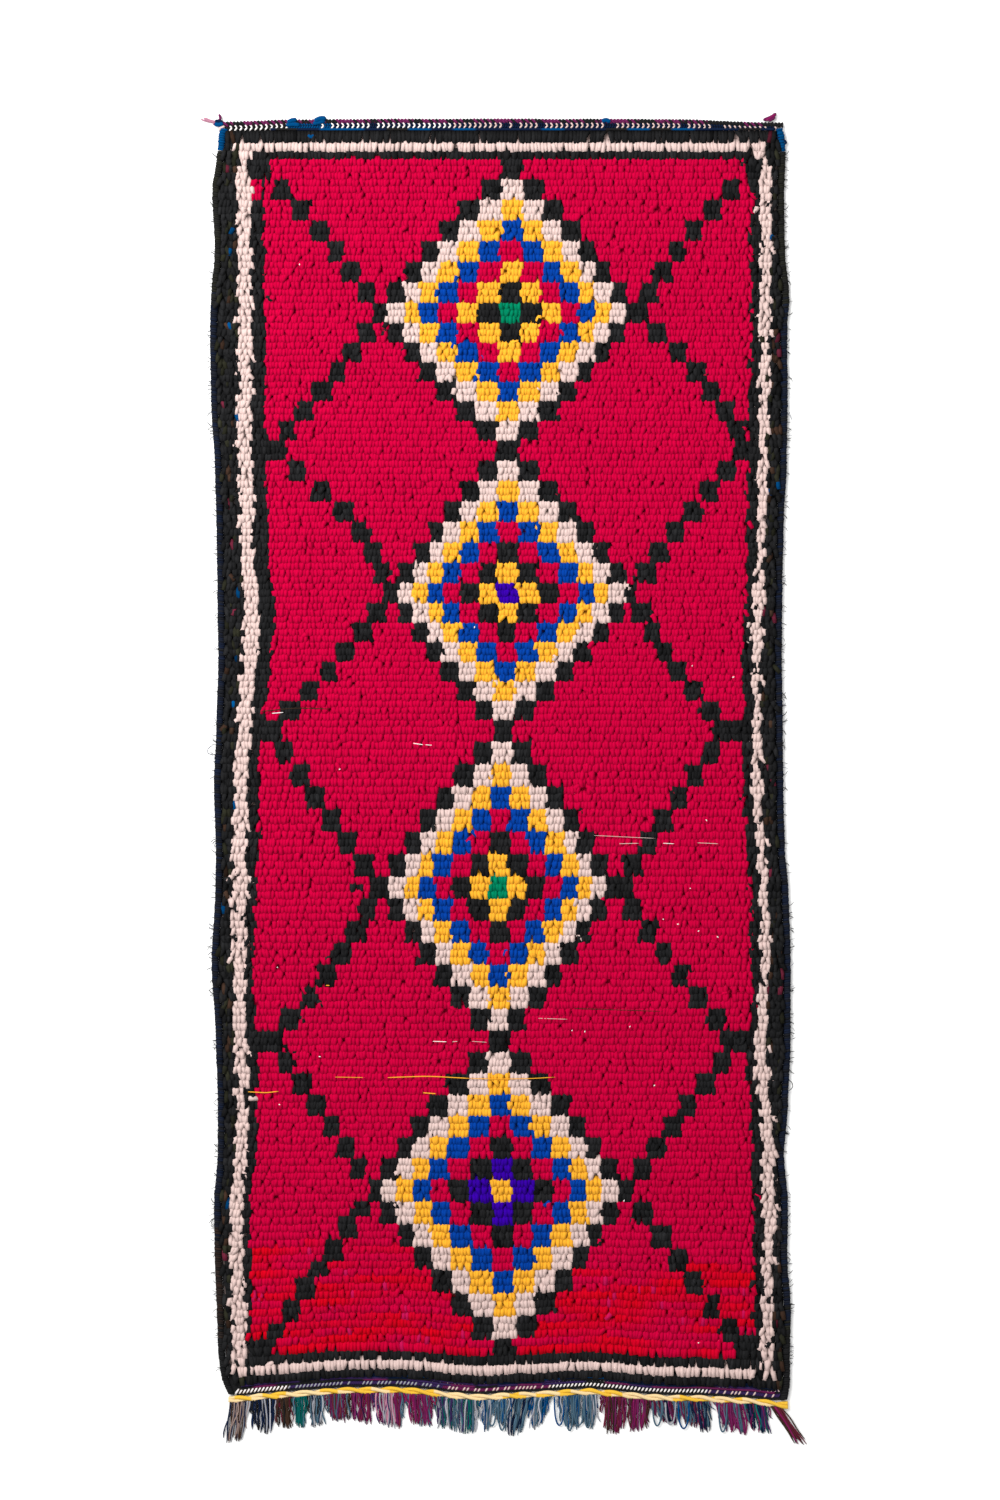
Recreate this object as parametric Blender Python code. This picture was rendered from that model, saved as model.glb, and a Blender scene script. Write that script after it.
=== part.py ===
"""Hand-knotted boucherouite rug, lying flat.

The rug lies in the XY plane on z = 0. +Y runs along its length, towards the end with the
twined edge and no fringe. The origin is the bottom centre of the whole rug, fringe and
yarn ends included. Sizes are in metres.
"""

import math
from collections import namedtuple

import bmesh
import bpy

# ---- Driving dimensions --------------------------------------------------------------
GAP = 0.0003                # air between neighbouring pieces
HALF_LENGTH = 1.3613        # from the origin to the tip of a yarn end, or of the fringe
HALF_SPAN = 0.6163          # from the origin to the sideways tip of a yarn end or tassel

PILE_HEIGHT = 0.0150        # top of the knotted pile
PILE_SHOULDER = 0.0105      # pile height where it meets the overcast sides
WOVEN_HEIGHT = 0.0060       # flat-woven ends
PILE_RIPPLE = 0.0008        # unevenness of the pile along the rug
PILE_TOP_Y = 1.3240         # last pile row at the twined end
PILE_BOTTOM_Y = -1.2250     # last pile row at the fringed end
PILE_RISE = 0.0080          # length over which flat weave rises to full pile

SELVEDGE_WIDTH = 0.0160     # overcast side cord
SELVEDGE_HEIGHT = 0.0100
WRAP_LOW_Y = 1.2880         # lower end of the blue corner overcasting
WRAP_HEIGHT = 0.0115

TOP_CORD_WIDTH = 0.0120
TOP_CORD_HEIGHT = 0.0105
BOTTOM_CORD_WIDTH = 0.0150
BOTTOM_CORD_HEIGHT = 0.0100

FRINGE_HEAD = 0.0060        # band that the bundles hang from
FRINGE_ROOT_HEIGHT = 0.0085
FRINGE_TIP_HEIGHT = 0.0040
BUNDLE_TAPER = 0.72         # width of a bundle's end against its root

BODY_ROWS = 64              # sections along the rug
BODY_COLUMNS = 20           # strips across it
SHOULDER_SHARE = 0.012      # width of the outermost strip, as a share of the body
END_WAVE_FROM = 1.1000      # distance from the middle past which the rows follow the end's waves
CORNER_CLEAR = 0.0030       # shortening of the side cords under the end cords
CORD_SIDES = 8
TONGUE_STEPS = 3            # strips down a fringe bundle
RAGGED_END = 0.0050         # how much shorter a bundle is on its trailing side
TIE_LEFT_X = -0.5760        # where the left yarn end leaves the corner

# ---- Outline -------------------------------------------------------------------------
# The outer edge of the overcast sides, at stations down the length.
Side = namedtuple("Side", "y left right")
SIDES = (
    Side(1.340, -0.574, 0.575),
    Side(1.320, -0.581, 0.581),
    Side(1.286, -0.583, 0.583),
    Side(1.204, -0.594, 0.580),
    Side(1.081, -0.588, 0.581),
    Side(0.983, -0.596, 0.591),
    Side(0.918, -0.598, 0.586),
    Side(0.775, -0.596, 0.587),
    Side(0.632, -0.588, 0.585),
    Side(0.529, -0.585, 0.579),
    Side(0.386, -0.583, 0.576),
    Side(0.243, -0.581, 0.575),
    Side(0.110, -0.585, 0.577),
    Side(-0.018, -0.590, 0.578),
    Side(-0.145, -0.586, 0.581),
    Side(-0.227, -0.587, 0.589),
    Side(-0.374, -0.595, 0.593),
    Side(-0.533, -0.586, 0.593),
    Side(-0.664, -0.582, 0.588),
    Side(-0.769, -0.582, 0.579),
    Side(-0.869, -0.590, 0.588),
    Side(-0.985, -0.588, 0.586),
    Side(-1.085, -0.584, 0.594),
    Side(-1.181, -0.581, 0.591),
    Side(-1.216, -0.575, 0.592),
    Side(-1.245, -0.562, 0.587),
    Side(-1.270, -0.552, 0.583),
)

# The outer edge of the end cords, at stations across the width.
End = namedtuple("End", "x top bottom")
ENDS = (
    End(-0.590, 1.343, -1.277),
    End(-0.555, 1.345, -1.276),
    End(-0.433, 1.349, -1.266),
    End(-0.320, 1.350, -1.258),
    End(-0.195, 1.351, -1.257),
    End(-0.140, 1.350, -1.262),
    End(-0.065, 1.351, -1.273),
    End(0.040, 1.351, -1.268),
    End(0.125, 1.350, -1.263),
    End(0.190, 1.351, -1.260),
    End(0.250, 1.350, -1.266),
    End(0.320, 1.350, -1.274),
    End(0.400, 1.349, -1.274),
    End(0.495, 1.344, -1.279),
    End(0.590, 1.343, -1.288),
)

# Fringe bundles from left to right: where each leaves the head, the level of its end,
# and how far the end drifts sideways.
Bundle = namedtuple("Bundle", "left right tip drift")
BUNDLES = (
    Bundle(-0.551, -0.514, -1.357, -0.010),
    Bundle(-0.513, -0.462, -1.337, 0.001),
    Bundle(-0.461, -0.427, -1.329, 0.002),
    Bundle(-0.426, -0.397, -1.327, 0.001),
    Bundle(-0.396, -0.359, -1.324, 0.000),
    Bundle(-0.358, -0.309, -1.315, 0.002),
    Bundle(-0.308, -0.263, -1.320, 0.001),
    Bundle(-0.262, -0.196, -1.327, 0.002),
    Bundle(-0.195, -0.138, -1.325, 0.004),
    Bundle(-0.137, -0.100, -1.333, 0.004),
    Bundle(-0.099, -0.048, -1.337, 0.000),
    Bundle(-0.040, -0.016, -1.336, -0.004),
    Bundle(-0.012, 0.024, -1.325, 0.001),
    Bundle(0.026, 0.060, -1.344, -0.012),
    Bundle(0.062, 0.096, -1.331, -0.008),
    Bundle(0.117, 0.160, -1.329, 0.004),
    Bundle(0.163, 0.196, -1.329, 0.002),
    Bundle(0.206, 0.255, -1.338, 0.000),
    Bundle(0.257, 0.304, -1.335, -0.002),
    Bundle(0.306, 0.356, -1.320, 0.010),
    Bundle(0.358, 0.394, -1.326, 0.012),
    Bundle(0.398, 0.428, -1.334, 0.000),
    Bundle(0.438, 0.498, -1.340, 0.010),
    Bundle(0.499, 0.548, -1.340, 0.008),
    Bundle(0.549, 0.570, -HALF_LENGTH, 0.0492),
)

# ---- Colours of the pieces -----------------------------------------------------------
Finish = namedtuple("Finish", "colour roughness")
CRIMSON = Finish((0.61, 0.002, 0.045, 1.0), 0.95)
NAVY = Finish((0.008, 0.011, 0.022, 1.0), 0.95)
PLUM = Finish((0.090, 0.020, 0.050, 1.0), 0.95)
GOLD = Finish((0.790, 0.520, 0.170, 1.0), 0.90)
SLATE = Finish((0.060, 0.080, 0.110, 1.0), 0.95)
BLUE = Finish((0.002, 0.050, 0.180, 1.0), 0.95)


def clear_scene():
    """Take away whatever the scene starts with."""
    for thing in list(bpy.data.objects):
        bpy.data.objects.remove(thing, do_unlink=True)


def eased(t):
    """Ease a fraction in and out."""
    t = min(max(t, 0.0), 1.0)
    return t * t * (3.0 - 2.0 * t)


def read_table(rows, key, column, at):
    """Read a column of a table between its rows, smoothly, whichever way the key runs."""
    ordered = sorted(rows, key=lambda row: getattr(row, key))
    if at <= getattr(ordered[0], key):
        return getattr(ordered[0], column)
    for low, high in zip(ordered, ordered[1:]):
        start, end = getattr(low, key), getattr(high, key)
        if at <= end:
            share = eased((at - start) / (end - start))
            return getattr(low, column) + share * (getattr(high, column) - getattr(low, column))
    return getattr(ordered[-1], column)


def left_edge(y):
    """Outer edge of the rug's left side."""
    return read_table(SIDES, "y", "left", y)


def right_edge(y):
    """Outer edge of the rug's right side."""
    return read_table(SIDES, "y", "right", y)


def top_edge(x):
    """Outer edge of the twined end's cord."""
    return read_table(ENDS, "x", "top", x)


def bottom_edge(x):
    """Outer edge of the cord that the fringe hangs from."""
    return read_table(ENDS, "x", "bottom", x)


def body_top(x):
    """Where the woven body ends, under the top cord."""
    return top_edge(x) - TOP_CORD_WIDTH - GAP


def body_bottom(x):
    """Where the woven body ends, above the bottom cord."""
    return bottom_edge(x) + BOTTOM_CORD_WIDTH + GAP


def pile_height(x, y, edge_share):
    """Height of the body: full pile, a lower shoulder at the sides, flat weave at the ends."""
    shoulder = eased(edge_share / SHOULDER_SHARE)
    pile = PILE_SHOULDER + (PILE_HEIGHT - PILE_RIPPLE - PILE_SHOULDER) * shoulder
    pile += PILE_RIPPLE * shoulder * math.sin(y * 21.0 + 2.0 * math.sin(x * 7.0))
    from_top = eased((PILE_TOP_Y - y) / PILE_RISE)
    from_bottom = eased((y - PILE_BOTTOM_Y) / PILE_RISE)
    return WOVEN_HEIGHT + (pile - WOVEN_HEIGHT) * from_top * from_bottom


def body_stations():
    """Heights up the rug of the body's sections, closer where the pile begins and ends."""
    low, high = body_bottom(0.0), body_top(0.0)
    rims = [PILE_TOP_Y - PILE_RISE * part for part in (0.0, 0.5, 1.0)]
    rims += [PILE_BOTTOM_Y + PILE_RISE * part for part in (0.0, 0.5, 1.0)]
    rims.append(WRAP_LOW_Y)
    even = [low + (high - low) * row / BODY_ROWS for row in range(BODY_ROWS + 1)]
    near = 0.3 * (high - low) / BODY_ROWS
    kept = [y for y in even if all(abs(y - rim) > near for rim in rims)]
    return sorted(kept + rims)


def column_shares():
    """Fractions of the width of the body's columns, with a narrow one at each side."""
    inner = [column / BODY_COLUMNS for column in range(1, BODY_COLUMNS)]
    return [0.0, SHOULDER_SHARE] + inner + [1.0 - SHOULDER_SHARE, 1.0]


def body_point(share, level):
    """Plan position of the body at a fraction of its width and a section's height."""
    left = left_edge(level) + SELVEDGE_WIDTH + GAP
    right = right_edge(level) - SELVEDGE_WIDTH - GAP
    x = left + share * (right - left)
    low, high = body_bottom(0.0), body_top(0.0)
    if level > 0.0:
        pull = (body_top(x) - high) * eased((level - END_WAVE_FROM) / (high - END_WAVE_FROM))
    else:
        pull = (body_bottom(x) - low) * eased((-level - END_WAVE_FROM) / (-low - END_WAVE_FROM))
    return x, level + pull


def material(name, finish):
    """A plain cloth material in the piece's colour."""
    made = bpy.data.materials.new(name)
    made.use_nodes = True
    shader = made.node_tree.nodes["Principled BSDF"]
    shader.inputs["Base Color"].default_value = finish.colour
    shader.inputs["Roughness"].default_value = finish.roughness
    shader.inputs["Metallic"].default_value = 0.0
    made.diffuse_color = finish.colour
    return made


def piece(name, shape, finish):
    """Turn a closed shape into a named object."""
    bmesh.ops.recalc_face_normals(shape, faces=shape.faces)
    mesh = bpy.data.meshes.new(name)
    shape.to_mesh(mesh)
    shape.free()
    mesh.materials.append(material(name + "_yarn", finish))
    made = bpy.data.objects.new(name, mesh)
    bpy.context.scene.collection.objects.link(made)
    return made


def rug_body():
    """The woven and knotted body: an uneven pile over a flat underside."""
    levels, shares = body_stations(), column_shares()
    shape = bmesh.new()
    columns, rows = len(shares) - 1, len(levels) - 1
    bmesh.ops.create_grid(shape, x_segments=columns, y_segments=rows, size=1.0)
    for vertex in shape.verts:
        share = shares[round((vertex.co.x + 1.0) / 2.0 * columns)]
        level = levels[round((vertex.co.y + 1.0) / 2.0 * rows)]
        x, y = body_point(share, level)
        vertex.co = (x, y, pile_height(x, level, min(share, 1.0 - share)))
    pushed = bmesh.ops.extrude_face_region(shape, geom=shape.faces[:])
    under = [item for item in pushed["geom"] if isinstance(item, bmesh.types.BMVert)]
    for vertex in under:
        vertex.co.z = 0.0
    floor = [face for face in shape.faces if all(v.co.z == 0.0 for v in face.verts)]
    bmesh.ops.dissolve_faces(shape, faces=floor)
    return piece("rug_body", shape, CRIMSON)


def padded_cord(name, route, finish, heading=None):
    """A cord that lies on the floor, through sections of (x, y, width, height).

    The sections face along the route, or all along one heading where that is given.
    """
    shape = bmesh.new()
    flat = 1.0 / math.cos(math.pi / CORD_SIDES)
    corners = [math.tau * (side + 0.5) / CORD_SIDES for side in range(CORD_SIDES)]
    rings = []
    for index, (x, y, width, height) in enumerate(route):
        before = route[max(index - 1, 0)]
        after = route[min(index + 1, len(route) - 1)]
        facing = math.atan2(after[1] - before[1], after[0] - before[0])
        facing = facing if heading is None else heading
        ring = bmesh.ops.create_circle(shape, segments=CORD_SIDES, radius=1.0)["verts"]
        for corner, vertex in zip(corners, ring):
            aside = math.cos(corner) * flat * width / 2.0
            lift = height / 2.0 * (1.0 + math.sin(corner) * flat)
            vertex.co = (x + aside * math.sin(facing), y - aside * math.cos(facing), lift)
        rings.append(ring)
    for low, high in zip(rings, rings[1:]):
        ends = (set(low), set(high))
        touching = {edge for vertex in low + high for edge in vertex.link_edges}
        loops = [edge for edge in touching if any(set(edge.verts) <= end for end in ends)]
        bmesh.ops.bridge_loops(shape, edges=loops)
    shape.faces.new(rings[0])
    shape.faces.new(rings[-1])
    return piece(name, shape, finish)


def side_route(share, levels, height):
    """Sections of an overcast cord beside the body, at the body's own levels."""
    aside = SELVEDGE_WIDTH / 2.0 + GAP
    outward = -aside if share == 0.0 else aside
    points = [body_point(share, level) for level in levels]
    return [(x + outward, y, SELVEDGE_WIDTH, height) for x, y in points]


def shortened(route, amount):
    """The same route with its last section drawn back along the stretch before it."""
    x, y, width, height = route[-1]
    before = route[-2]
    share = amount / abs(y - before[1])
    return route[:-1] + [(x + share * (before[0] - x), y + share * (before[1] - y), width, height)]


def overcast_side(side, share):
    """The overcast cord of one side, with its blue corner."""
    levels = body_stations()
    downward = [level for level in reversed(levels) if level <= WRAP_LOW_Y]
    upward = [level for level in levels if level >= WRAP_LOW_Y]
    lower = shortened(side_route(share, downward, SELVEDGE_HEIGHT), CORNER_CLEAR)
    lower = shortened(lower[::-1], GAP)
    upper = shortened(side_route(share, upward, WRAP_HEIGHT), CORNER_CLEAR)
    padded_cord("selvedge_" + side, lower, NAVY, heading=math.pi / 2.0)
    padded_cord("corner_wrap_" + side, upper, BLUE, heading=math.pi / 2.0)


def end_columns(level):
    """Where the end cords have their sections: over the body's columns and past both sides."""
    inner = [body_point(share, level)[0] for share in column_shares()]
    return [left_edge(level)] + inner + [right_edge(level)]


def end_cords():
    """The dark cord of the twined end and the gold one that the fringe hangs from."""
    top = []
    for x in end_columns(body_top(0.0)):
        top.append((x, top_edge(x) - TOP_CORD_WIDTH / 2.0, TOP_CORD_WIDTH, TOP_CORD_HEIGHT))
    padded_cord("top_end_cord", top, PLUM, heading=0.0)
    bottom = []
    for x in end_columns(body_bottom(0.0)):
        middle = bottom_edge(x) + BOTTOM_CORD_WIDTH / 2.0
        bottom.append((x, middle, BOTTOM_CORD_WIDTH, BOTTOM_CORD_HEIGHT))
    padded_cord("bottom_end_cord", bottom, GOLD, heading=0.0)


def cord_underside(x):
    """Outer edge of the gold cord, straight between its sections."""
    columns = end_columns(body_bottom(0.0))
    for low, high in zip(columns, columns[1:]):
        if x <= high:
            share = (x - low) / (high - low)
            return bottom_edge(low) + share * (bottom_edge(high) - bottom_edge(low))
    return bottom_edge(columns[-1])


def fringe():
    """One comb: a narrow head under the gold cord, and a tongue for each dyed bundle."""
    first, last = BUNDLES[0].left, BUNDLES[-1].right
    stops = {x for bundle in BUNDLES for x in (bundle.left, bundle.right)}
    stops |= {x for x in end_columns(body_bottom(0.0)) if first < x < last}
    shape = bmesh.new()
    line = [shape.verts.new((x, cord_underside(x) - GAP, 0.0)) for x in sorted(stops)]
    edges = [shape.edges.new(pair) for pair in zip(line, line[1:])]
    roots = hang(shape, edges, lambda x, y: (x, y - FRINGE_HEAD))
    for bundle in BUNDLES:
        middle = (bundle.left + bundle.right) / 2.0
        root_y = cord_underside(middle) - GAP - FRINGE_HEAD
        own = [edge for edge in roots if all(within(v.co.x, bundle) for v in edge.verts)]
        for step in range(1, TONGUE_STEPS + 1):
            part = step / TONGUE_STEPS
            own = hang(shape, own, tongue_step(bundle, middle, root_y, part))
    pushed = bmesh.ops.extrude_face_region(shape, geom=shape.faces[:])
    for item in pushed["geom"]:
        if isinstance(item, bmesh.types.BMVert):
            depth = (cord_underside(item.co.x) - item.co.y) / (HALF_LENGTH + cord_underside(0.0))
            drop = eased(depth) * (FRINGE_ROOT_HEIGHT - FRINGE_TIP_HEIGHT)
            item.co.z = FRINGE_ROOT_HEIGHT - drop
    return piece("fringe", shape, SLATE)


def within(x, bundle):
    """Whether a place on the head belongs to a bundle."""
    return bundle.left - GAP / 2.0 <= x <= bundle.right + GAP / 2.0


def hang(shape, edges, place):
    """Extend edges by one more strip of cloth, each new point going where place puts it."""
    pushed = bmesh.ops.extrude_edge_only(shape, edges=edges)["geom"]
    for item in pushed:
        if isinstance(item, bmesh.types.BMVert):
            item.co.x, item.co.y = place(item.co.x, item.co.y)
    lower = [item for item in pushed if isinstance(item, bmesh.types.BMEdge)]
    return [edge for edge in lower if all(vertex in pushed for vertex in edge.verts)]


def tongue_step(bundle, middle, root_y, part):
    """Where the points of a bundle go at a fraction of its length."""
    before = part - 1.0 / TONGUE_STEPS
    narrow = (1.0 - (1.0 - BUNDLE_TAPER) * part) / (1.0 - (1.0 - BUNDLE_TAPER) * before)
    drift = bundle.drift * part
    old_drift = bundle.drift * before

    def place(x, _y):
        aside = (x - middle - old_drift) * narrow
        trailing = part == 1.0 and aside * bundle.drift < 0.0
        level = root_y + (bundle.tip - root_y) * part
        return middle + drift + aside, level + (RAGGED_END if trailing else 0.0)

    return place


def corner_ties():
    """Loose yarn ends left at both corners of the twined end."""
    left = (
        (TIE_LEFT_X, 1.3390, 0.0080, 0.0080),
        (TIE_LEFT_X - 0.0100, 1.3400, 0.0120, 0.0110),
        (TIE_LEFT_X - 0.0200, 1.3430, 0.0080, 0.0080),
        (TIE_LEFT_X - 0.0300, 1.3460, 0.0075, 0.0065),
        (-HALF_SPAN, 1.3480, 0.0050, 0.0040),
    )
    padded_cord("corner_tie_left", left, PLUM)
    foot = top_edge(0.548) + 0.0012
    right = (
        (0.5440, foot, 0.0070, 0.0070),
        (0.5490, foot + 0.0060, 0.0085, 0.0080),
        (0.5560, foot + 0.0120, 0.0080, 0.0065),
        (0.5620, HALF_LENGTH, 0.0045, 0.0040),
    )
    padded_cord("corner_tie_right", right, PLUM, heading=math.pi / 2.0)


def build():
    """Make every piece of the rug."""
    clear_scene()
    rug_body()
    overcast_side("left", 0.0)
    overcast_side("right", 1.0)
    end_cords()
    fringe()
    corner_ties()


build()
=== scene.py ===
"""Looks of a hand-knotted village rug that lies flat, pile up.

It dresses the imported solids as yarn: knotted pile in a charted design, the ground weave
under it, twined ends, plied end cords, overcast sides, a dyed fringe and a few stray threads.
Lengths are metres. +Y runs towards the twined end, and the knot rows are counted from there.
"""

import logging
import math
from dataclasses import dataclass, field
from enum import Enum
from typing import NamedTuple, Sequence

import bmesh
import bpy
import numpy as np
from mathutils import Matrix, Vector
from mathutils.bvhtree import BVHTree


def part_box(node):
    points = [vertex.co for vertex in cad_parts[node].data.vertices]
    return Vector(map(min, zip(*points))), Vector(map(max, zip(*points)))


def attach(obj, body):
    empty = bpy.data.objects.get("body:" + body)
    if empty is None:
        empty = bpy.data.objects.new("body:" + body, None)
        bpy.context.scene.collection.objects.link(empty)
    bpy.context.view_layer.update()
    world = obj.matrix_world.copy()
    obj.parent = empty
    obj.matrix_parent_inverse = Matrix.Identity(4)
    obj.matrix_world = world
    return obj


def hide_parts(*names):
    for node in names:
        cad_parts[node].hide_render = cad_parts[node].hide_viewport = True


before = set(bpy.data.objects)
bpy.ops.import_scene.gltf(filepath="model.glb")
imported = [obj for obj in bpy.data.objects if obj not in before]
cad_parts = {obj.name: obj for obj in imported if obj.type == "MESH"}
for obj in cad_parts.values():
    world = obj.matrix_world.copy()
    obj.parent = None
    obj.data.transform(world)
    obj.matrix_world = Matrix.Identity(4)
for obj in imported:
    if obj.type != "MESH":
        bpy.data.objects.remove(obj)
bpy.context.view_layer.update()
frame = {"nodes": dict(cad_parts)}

LOG = logging.getLogger("rug")
UP = np.array((0.0, 0.0, 1.0))


class Dye(Enum):
    """Dyed yarns of the rug, as display colours."""

    CRIMSON = "ae0032"
    SCARLET = "b80016"
    BLACK = "1b1b1c"
    CREAM = "c9b0aa"
    YELLOW = "e3a02c"
    BLUE = "033689"
    GREEN = "00704f"
    VIOLET = "2e008c"
    NAVY = "0d1a33"
    PEACOCK = "003c6a"
    PLUM = "5b1c45"
    MAROON = "571c2c"
    MAGENTA = "6f1649"
    ROSE = "a06d80"
    SLATE = "3f5767"
    TEAL = "064c4a"
    TAUPE = "83706a"
    UMBER = "33241c"
    OLIVE = "23231a"
    GREY = "8d8e95"
    GOLD = "d8ab38"
    STRAW = "dcc08e"
    WHITE = "e2dcd9"
    PURPLE = "30214a"

    @property
    def linear(self) -> tuple[float, float, float, float]:
        """The dye as scene-linear red, green, blue and alpha."""
        shares = [int(self.value[at : at + 2], 16) / 255.0 for at in (0, 2, 4)]
        made = [s / 12.92 if s <= 0.04045 else ((s + 0.055) / 1.055) ** 2.4 for s in shares]
        return (made[0], made[1], made[2], 1.0)


DYES = list(Dye)
PALETTE = np.array([dye.linear for dye in DYES])


def code(dye: Dye) -> int:
    """Place of a dye in the palette."""
    return DYES.index(dye)


def smooth_noise(at: np.ndarray, pitch: float, rng: np.random.Generator) -> np.ndarray:
    """Smooth random values from -1 to 1 along a line.

    Args:
        at: Places along the line.
        pitch: Distance between the random values that are joined.
        rng: Source of the random values.

    Returns:
        One value for each place.
    """
    low = float(at.min()) - pitch
    knots = rng.uniform(-1.0, 1.0, int((float(at.max()) - low) / pitch) + 3)
    return np.interp((at - low) / pitch, np.arange(len(knots)), knots)


class EdgeLine:
    """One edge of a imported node, probed by level rays from outside."""

    PROBES = 200
    PROBE_HEIGHT = 0.002

    def __init__(self, node: bpy.types.Object, axis: int, side: int, inset: float = 0.003) -> None:
        """Probe the edge.

        Args:
            node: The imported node.
            axis: 0 for an edge that faces along x, 1 for one that faces along y.
            side: 1 for the edge at the axis's far end, -1 for its near end.
            inset: How far from the node's ends the first and last probes are.
        """
        mesh = node.data
        tree = BVHTree.FromPolygons(
            [v.co.copy() for v in mesh.vertices], [tuple(p.vertices) for p in mesh.polygons]
        )
        low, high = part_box(node.name)
        along = 1 - axis
        self.first, self.last = low[along] + inset, high[along] - inset
        stations, edges = [], []
        for station in np.linspace(self.first, self.last, self.PROBES):
            start, heading = [0.0, 0.0, self.PROBE_HEIGHT], [0.0, 0.0, 0.0]
            start[along], start[axis], heading[axis] = float(station), 2.0 * side, -1.0 * side
            hit = tree.ray_cast(Vector(start), Vector(heading))[0]
            if hit is not None:
                stations.append(station)
                edges.append(hit[axis])
        self.stations, self.edges = np.array(stations), np.array(edges)

    def at(self, places: np.ndarray) -> np.ndarray:
        """The edge at places along it."""
        return np.interp(places, self.stations, self.edges)


class Outline:
    """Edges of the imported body, its overcast sides, end cords and fringe."""

    BODY_INSET = 0.030

    def __init__(self, nodes: dict[str, bpy.types.Object]) -> None:
        """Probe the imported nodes.

        Args:
            nodes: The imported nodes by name.
        """
        body = nodes["rug_body"]
        self.left = EdgeLine(body, 0, -1, self.BODY_INSET).at
        self.right = EdgeLine(body, 0, 1, self.BODY_INSET).at
        self.top = EdgeLine(body, 1, 1, self.BODY_INSET).at
        self.bottom = EdgeLine(body, 1, -1, self.BODY_INSET).at
        self.top_cord = EdgeLine(nodes["top_end_cord"], 1, 1)
        self.bottom_cord = EdgeLine(nodes["bottom_end_cord"], 1, -1)
        self.fringe = EdgeLine(nodes["fringe"], 1, -1, 0.001)
        self.sides = {
            name: EdgeLine(nodes[name], 0, -1 if name.endswith("left") else 1)
            for name in ("selvedge_left", "selvedge_right", "corner_wrap_left", "corner_wrap_right")
        }


class Strand:
    """A short tube made once with bmesh and laid many times along paths."""

    def __init__(self, sides: int, cuts: int) -> None:
        """Make the tube.

        Args:
            sides: Faces round it.
            cuts: Rings between its two ends.
        """
        shape = bmesh.new()
        bmesh.ops.create_cone(
            shape, cap_ends=True, segments=sides, radius1=1.0, radius2=1.0, depth=1.0
        )
        uprights = [e for e in shape.edges if abs(e.verts[0].co.z - e.verts[1].co.z) > 0.5]
        if cuts:
            bmesh.ops.subdivide_edges(shape, edges=uprights, cuts=cuts, use_grid_fill=False)
        bmesh.ops.recalc_face_normals(shape, faces=shape.faces)
        bmesh.ops.triangulate(shape, faces=shape.faces[:])
        shape.verts.ensure_lookup_table()
        self.rings = cuts + 2
        points = np.array([v.co[:] for v in shape.verts])
        self.aside, self.lift = points[:, 0], points[:, 1]
        self.ring = np.rint((points[:, 2] + 0.5) * (cuts + 1)).astype(int)
        self.faces = np.array([[v.index for v in face.verts] for face in shape.faces])
        shape.free()

    def along(
        self, paths: np.ndarray, widths: np.ndarray, heights: np.ndarray, across: np.ndarray
    ) -> np.ndarray:
        """Lay one tube along each path.

        Args:
            paths: Centre points, by strand, ring and axis.
            widths: Width of each ring, by strand and ring.
            heights: Thickness of each ring, by strand and ring.
            across: Direction of the width, by strand and ring, or by strand.

        Returns:
            Vertex positions, by strand, vertex and axis.
        """
        across = across[:, None, :] if across.ndim == 2 else across
        across = np.broadcast_to(across, paths.shape)
        run = np.gradient(paths, axis=1)
        over = np.cross(across, run)
        over /= np.maximum(np.linalg.norm(over, axis=2, keepdims=True), 1e-9)
        aside = self.aside[None, :, None] * widths[:, self.ring, None] / 2.0
        lift = self.lift[None, :, None] * heights[:, self.ring, None] / 2.0
        return paths[:, self.ring] + aside * across[:, self.ring] - lift * over[:, self.ring]


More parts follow.
